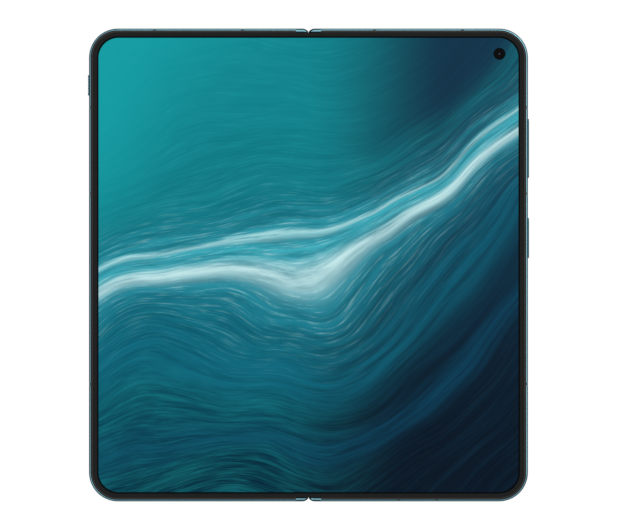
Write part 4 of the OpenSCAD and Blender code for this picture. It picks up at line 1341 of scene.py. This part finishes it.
@dataclass
class RearCameras(SubAssembly):
    """The round camera deck with its ring, its glass, three lenses and a flash."""

    orbit: float = 9.6 * MM
    window_r: float = 4.77 * MM
    domes: tuple[float, float, float] = (2.3 * MM, 1.9 * MM, 1.5 * MM)
    angles: tuple[float, float, float] = (135.0, 45.0, 225.0)
    flash_angle: float = 315.0
    flash_r: float = 2.0 * MM
    rim_w: float = 0.9 * MM
    edge: float = 0.05 * MM
    stairs: int = 5
    stair_depth: Pair = (0.06 * MM, 0.34 * MM)
    dome_gap: float = 0.1 * MM
    dome_depth: float = 0.3 * MM
    dome_rise: float = 0.22 * MM

    @property
    def centre(self) -> Pair:
        """Centre of the deck, midway across the camera ring."""
        low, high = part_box("camera_ring")
        return (low.x + high.x) / 2, (low.y + high.y) / 2

    def at(self, angle: float) -> Pair:
        """A place on the orbit of the lenses."""
        x, y = self.centre
        turn = np.radians(angle)
        return x + self.orbit * float(np.cos(turn)), y + self.orbit * float(np.sin(turn))

    @property
    def lens_centres(self) -> tuple[Pair, ...]:
        """Centres of the three lenses."""
        return tuple(self.at(angle) for angle in self.angles)

    def finishes(self) -> dict[str, Finish]:
        """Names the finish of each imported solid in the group."""
        axis = (self.centre,)
        trim = TurnedMetal("lens_trim", srgb(120, 156, 160), self.lens_centres, 0.1 * MM)
        return {"camera_ring": TurnedMetal("ring_metal", srgb(92, 140, 146), axis, 0.16 * MM),
                "camera_deck": TurnedMetal("deck_metal", srgb(14, 44, 50), axis, 0.3 * MM, 0.3),
                "camera_glass": DarkGlass("camera_glass", srgb(7, 11, 13), 0.05),
                "rear_lens_rings": trim, "rear_camera_modules": BLACK_PLASTIC,
                "flash_lens": FlashPlastic("flash_plastic", self.at(self.flash_angle), self.flash_r)}

    def build(self) -> list[Object]:
        """Makes the optics of the three rear lenses."""
        lens = CoatedLens("rear_lens", self.lens_centres, self.window_r)
        made = [skin(f"rear_lens_{number}", revolved(self.lens_profile(dome), centre))
                for number, (dome, centre) in enumerate(zip(self.domes, self.lens_centres), 1)]
        return [self.add(piece, lens, "lens_glass", "right_half", ("rear_lens_windows",)) for piece in made]

    def lens_profile(self, dome_r: float) -> np.ndarray:
        """Section of a lens: a flat rim, baffle steps down a cone, and a domed front element.

        The baffles are a staircase between the window's rim and the dome. The dome's height falls with
        the square of the radius.

        Args:
            dome_r: Radius of the front element.

        Returns:
            Radius and height of each point, from the axis at the back to the axis at the front.
        """
        low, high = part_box("rear_lens_windows")
        rim = self.window_r - self.rim_w
        level = low.z + np.linspace(*self.stair_depth, self.stairs)
        radius = np.linspace(rim, dome_r + self.dome_gap, self.stairs)
        stairs = np.stack([np.repeat(radius, 2)[1:], np.repeat(level, 2)[:-1]], -1)
        reach = np.linspace(dome_r, 0.0, 14)
        depth = self.dome_depth - self.dome_rise * (1 - (reach / dome_r) ** 2)
        dome = np.stack([reach, low.z + depth], -1)
        back = [(0.0, high.z), (self.window_r, high.z), (self.window_r, low.z + self.edge),
                (self.window_r - self.edge, low.z), (rim + 0.8 * self.edge, low.z)]
        return np.vstack([back, stairs, dome])


@dataclass
class InnerCamera(SubAssembly):
    """The small lens that stands in the hole of the inner display."""

    radius: float = 0.36 * MM
    depth: float = 0.1 * MM
    crown: float = 0.05 * MM
    thick: float = 0.12 * MM

    def build(self) -> list[Object]:
        """Makes the lens as a dome whose height falls with the square of the radius."""
        low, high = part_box("inner_camera")
        centre = ((low.x + high.x) / 2, (low.y + high.y) / 2)
        top = high.z - self.depth
        reach = np.linspace(self.radius, 0.0, 12)
        dome = np.stack([reach, top - self.crown * (reach / self.radius) ** 2], -1)
        back = [(0.0, top - self.thick), (0.8 * self.radius, top - self.thick)]
        piece = skin("inner_camera_lens", revolved(np.vstack([back, dome]), centre, 40))
        finish = CoatedLens("inner_lens", (centre,), self.radius, srgb(38, 58, 92))
        return [self.add(piece, finish, "lens_glass", "right_half")]


@dataclass
class ChargingPort(SubAssembly):
    """The receptacle in the bottom edge, with the gold contacts on its tongue."""

    contacts: int = 12
    pitch: float = 0.5 * MM
    size: tuple[float, float, float] = (0.26 * MM, 3.0 * MM, 0.03 * MM)
    tongue_half: float = 0.35 * MM
    inset: float = 1.5 * MM

    def finishes(self) -> dict[str, Finish]:
        """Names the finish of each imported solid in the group."""
        return {"usb_receptacle": PORT_STEEL}

    def build(self) -> list[Object]:
        """Lays a row of contacts on each face of the tongue."""
        low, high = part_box("usb_receptacle")
        x = (low.x + high.x) / 2 + (np.arange(self.contacts) - (self.contacts - 1) / 2) * self.pitch
        middle = (low.z + high.z) / 2
        rows = []
        for bottom in (middle + self.tongue_half, middle - self.tongue_half - self.size[2]):
            start = [x - self.size[0] / 2, np.full_like(x, low.y + self.inset), np.full_like(x, bottom)]
            rows.append(np.stack(start, -1))
        lows = np.vstack(rows)
        piece = solid("port_contacts", *boxes(lows, lows + np.array(self.size)))
        return [self.add(piece, CONTACT_GOLD, "module_black", "right_half")]


@dataclass(frozen=True)
class Lamp:
    """A square soft lamp that faces the phone."""

    name: str
    place: tuple[float, float, float]
    size: float
    power: float

    def hang(self) -> Object:
        """Makes the lamp, turned so that its face looks at the origin.

        Returns:
            The lamp.
        """
        light = bpy.data.lights.new(self.name, "AREA")
        light.shape, light.size, light.energy = "SQUARE", self.size, self.power
        lamp = bpy.data.objects.new(self.name, light)
        bpy.context.scene.collection.objects.link(lamp)
        lamp.location = self.place
        lamp.rotation_mode = "QUATERNION"
        lamp.rotation_quaternion = lamp.location.to_track_quat("Z", "Y")
        return lamp


@dataclass
class Studio:
    """A white floor, a white surround, soft lamps and the camera straight above the open display."""

    image_width: float = 200.13 * MM
    lens: float = 800.0
    sensor: float = 36.0
    display_z: float = 7.75 * MM
    clip: Pair = (0.05, 20.0)
    floor_half: float = 3.0
    floor_white: float = 0.86
    ambient: float = 0.55
    glow: float = 1.025
    glow_share: float = 0.95
    lamps: list[Lamp] = field(default_factory=lambda: [
        Lamp("fill_lamp", (-0.9, -0.6, 1.2), 1.2, 5.0),
        Lamp("right_lamp", (1.4, 0.35, 0.6), 1.2, 6.0),
        Lamp("top_lamp", (0.2, 0.8, 0.5), 0.7, 3.0),
        Lamp("corner_lamp", (0.85, 0.85, 0.55), 0.45, 2.6)])

    def seen_directly(self, tree: bpy.types.NodeTree) -> NodeSocket:
        """One where a ray comes from the camera, a mirror or clear glass, and nothing elsewhere.

        Args:
            tree: The node tree that needs it.

        Returns:
            The factor.
        """
        path = tree.nodes.new("ShaderNodeLightPath")
        total = path.outputs["Is Camera Ray"]
        for name in ("Is Glossy Ray", "Is Transmission Ray"):
            add = tree.nodes.new("ShaderNodeMath")
            add.operation, add.use_clamp = "ADD", True
            tree.links.new(total, add.inputs[0])
            tree.links.new(path.outputs[name], add.inputs[1])
            total = add.outputs[0]
        return total

    def surround(self) -> None:
        """Makes the world white to the eye and softer as a light."""
        world = bpy.data.worlds.new("studio_surround")
        world.use_nodes = True
        bpy.context.scene.world = world
        tree = world.node_tree
        light = tree.nodes["Background"]
        spread = tree.nodes.new("ShaderNodeMapRange")
        spread.inputs["To Min"].default_value = self.ambient
        tree.links.new(self.seen_directly(tree), spread.inputs["Value"])
        tree.links.new(spread.outputs[0], light.inputs["Strength"])
        light.inputs["Color"].default_value = (1.0, 1.0, 1.0, 1.0)

    def floor(self) -> Object:
        """Lays the floor, white to the eye with a share of real shadow.

        Returns:
            The floor.
        """
        h = self.floor_half
        mesh = bpy.data.meshes.new("studio_floor")
        mesh.from_pydata([(-h, -h, 0), (h, -h, 0), (h, h, 0), (-h, h, 0)], [], [(0, 1, 2, 3)])
        piece = bpy.data.objects.new("studio_floor", mesh)
        bpy.context.scene.collection.objects.link(piece)
        material = bpy.data.materials.new("studio_floor")
        material.use_nodes = True
        tree = material.node_tree
        tree.nodes.remove(tree.nodes["Principled BSDF"])
        matt = tree.nodes.new("ShaderNodeBsdfDiffuse")
        matt.inputs["Color"].default_value = (self.floor_white, self.floor_white, self.floor_white, 1.0)
        glow = tree.nodes.new("ShaderNodeEmission")
        glow.inputs["Strength"].default_value = self.glow
        share = tree.nodes.new("ShaderNodeMath")
        share.operation = "MULTIPLY"
        share.inputs[1].default_value = self.glow_share
        blend = tree.nodes.new("ShaderNodeMixShader")
        tree.links.new(self.seen_directly(tree), share.inputs[0])
        tree.links.new(share.outputs[0], blend.inputs[0])
        tree.links.new(matt.outputs[0], blend.inputs[1])
        tree.links.new(glow.outputs[0], blend.inputs[2])
        tree.links.new(blend.outputs[0], tree.nodes["Material Output"].inputs["Surface"])
        mesh.materials.append(material)
        return piece

    def camera(self) -> Object:
        """Hangs the camera over the fold, so far up that the image spans its width at the display.

        Returns:
            The camera.
        """
        data = bpy.data.cameras.new("camera")
        data.lens, data.sensor_width = self.lens, self.sensor
        data.clip_start, data.clip_end = self.clip
        piece = bpy.data.objects.new("camera", data)
        bpy.context.scene.collection.objects.link(piece)
        piece.location = (0.0, 0.0, self.display_z + self.image_width * self.lens / self.sensor)
        bpy.context.scene.camera = piece
        return piece

    def build(self) -> None:
        """Sets up the floor, the surround, the lamps and the camera."""
        self.floor()
        self.surround()
        for lamp in self.lamps:
            lamp.hang()
        self.camera()
        bpy.context.scene.view_settings.view_transform = "Standard"
        log.info("studio set with %d lamps", len(self.lamps))


def main() -> None:
    """Builds and dresses every sub-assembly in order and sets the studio."""
    logging.basicConfig(level=logging.INFO, format="%(name)s: %(message)s")
    groups = [RightHalf(), LeftHalf(), Hinge(), FoldingDisplay(), Bezels(), RearCameras(), InnerCamera(),
              ChargingPort()]
    for group in groups:
        group.dress()
        made = group.build()
        log.info("%s: %d new pieces", type(group).__name__, len(made))
    Studio().build()


if __name__ == "__main__":
    main()
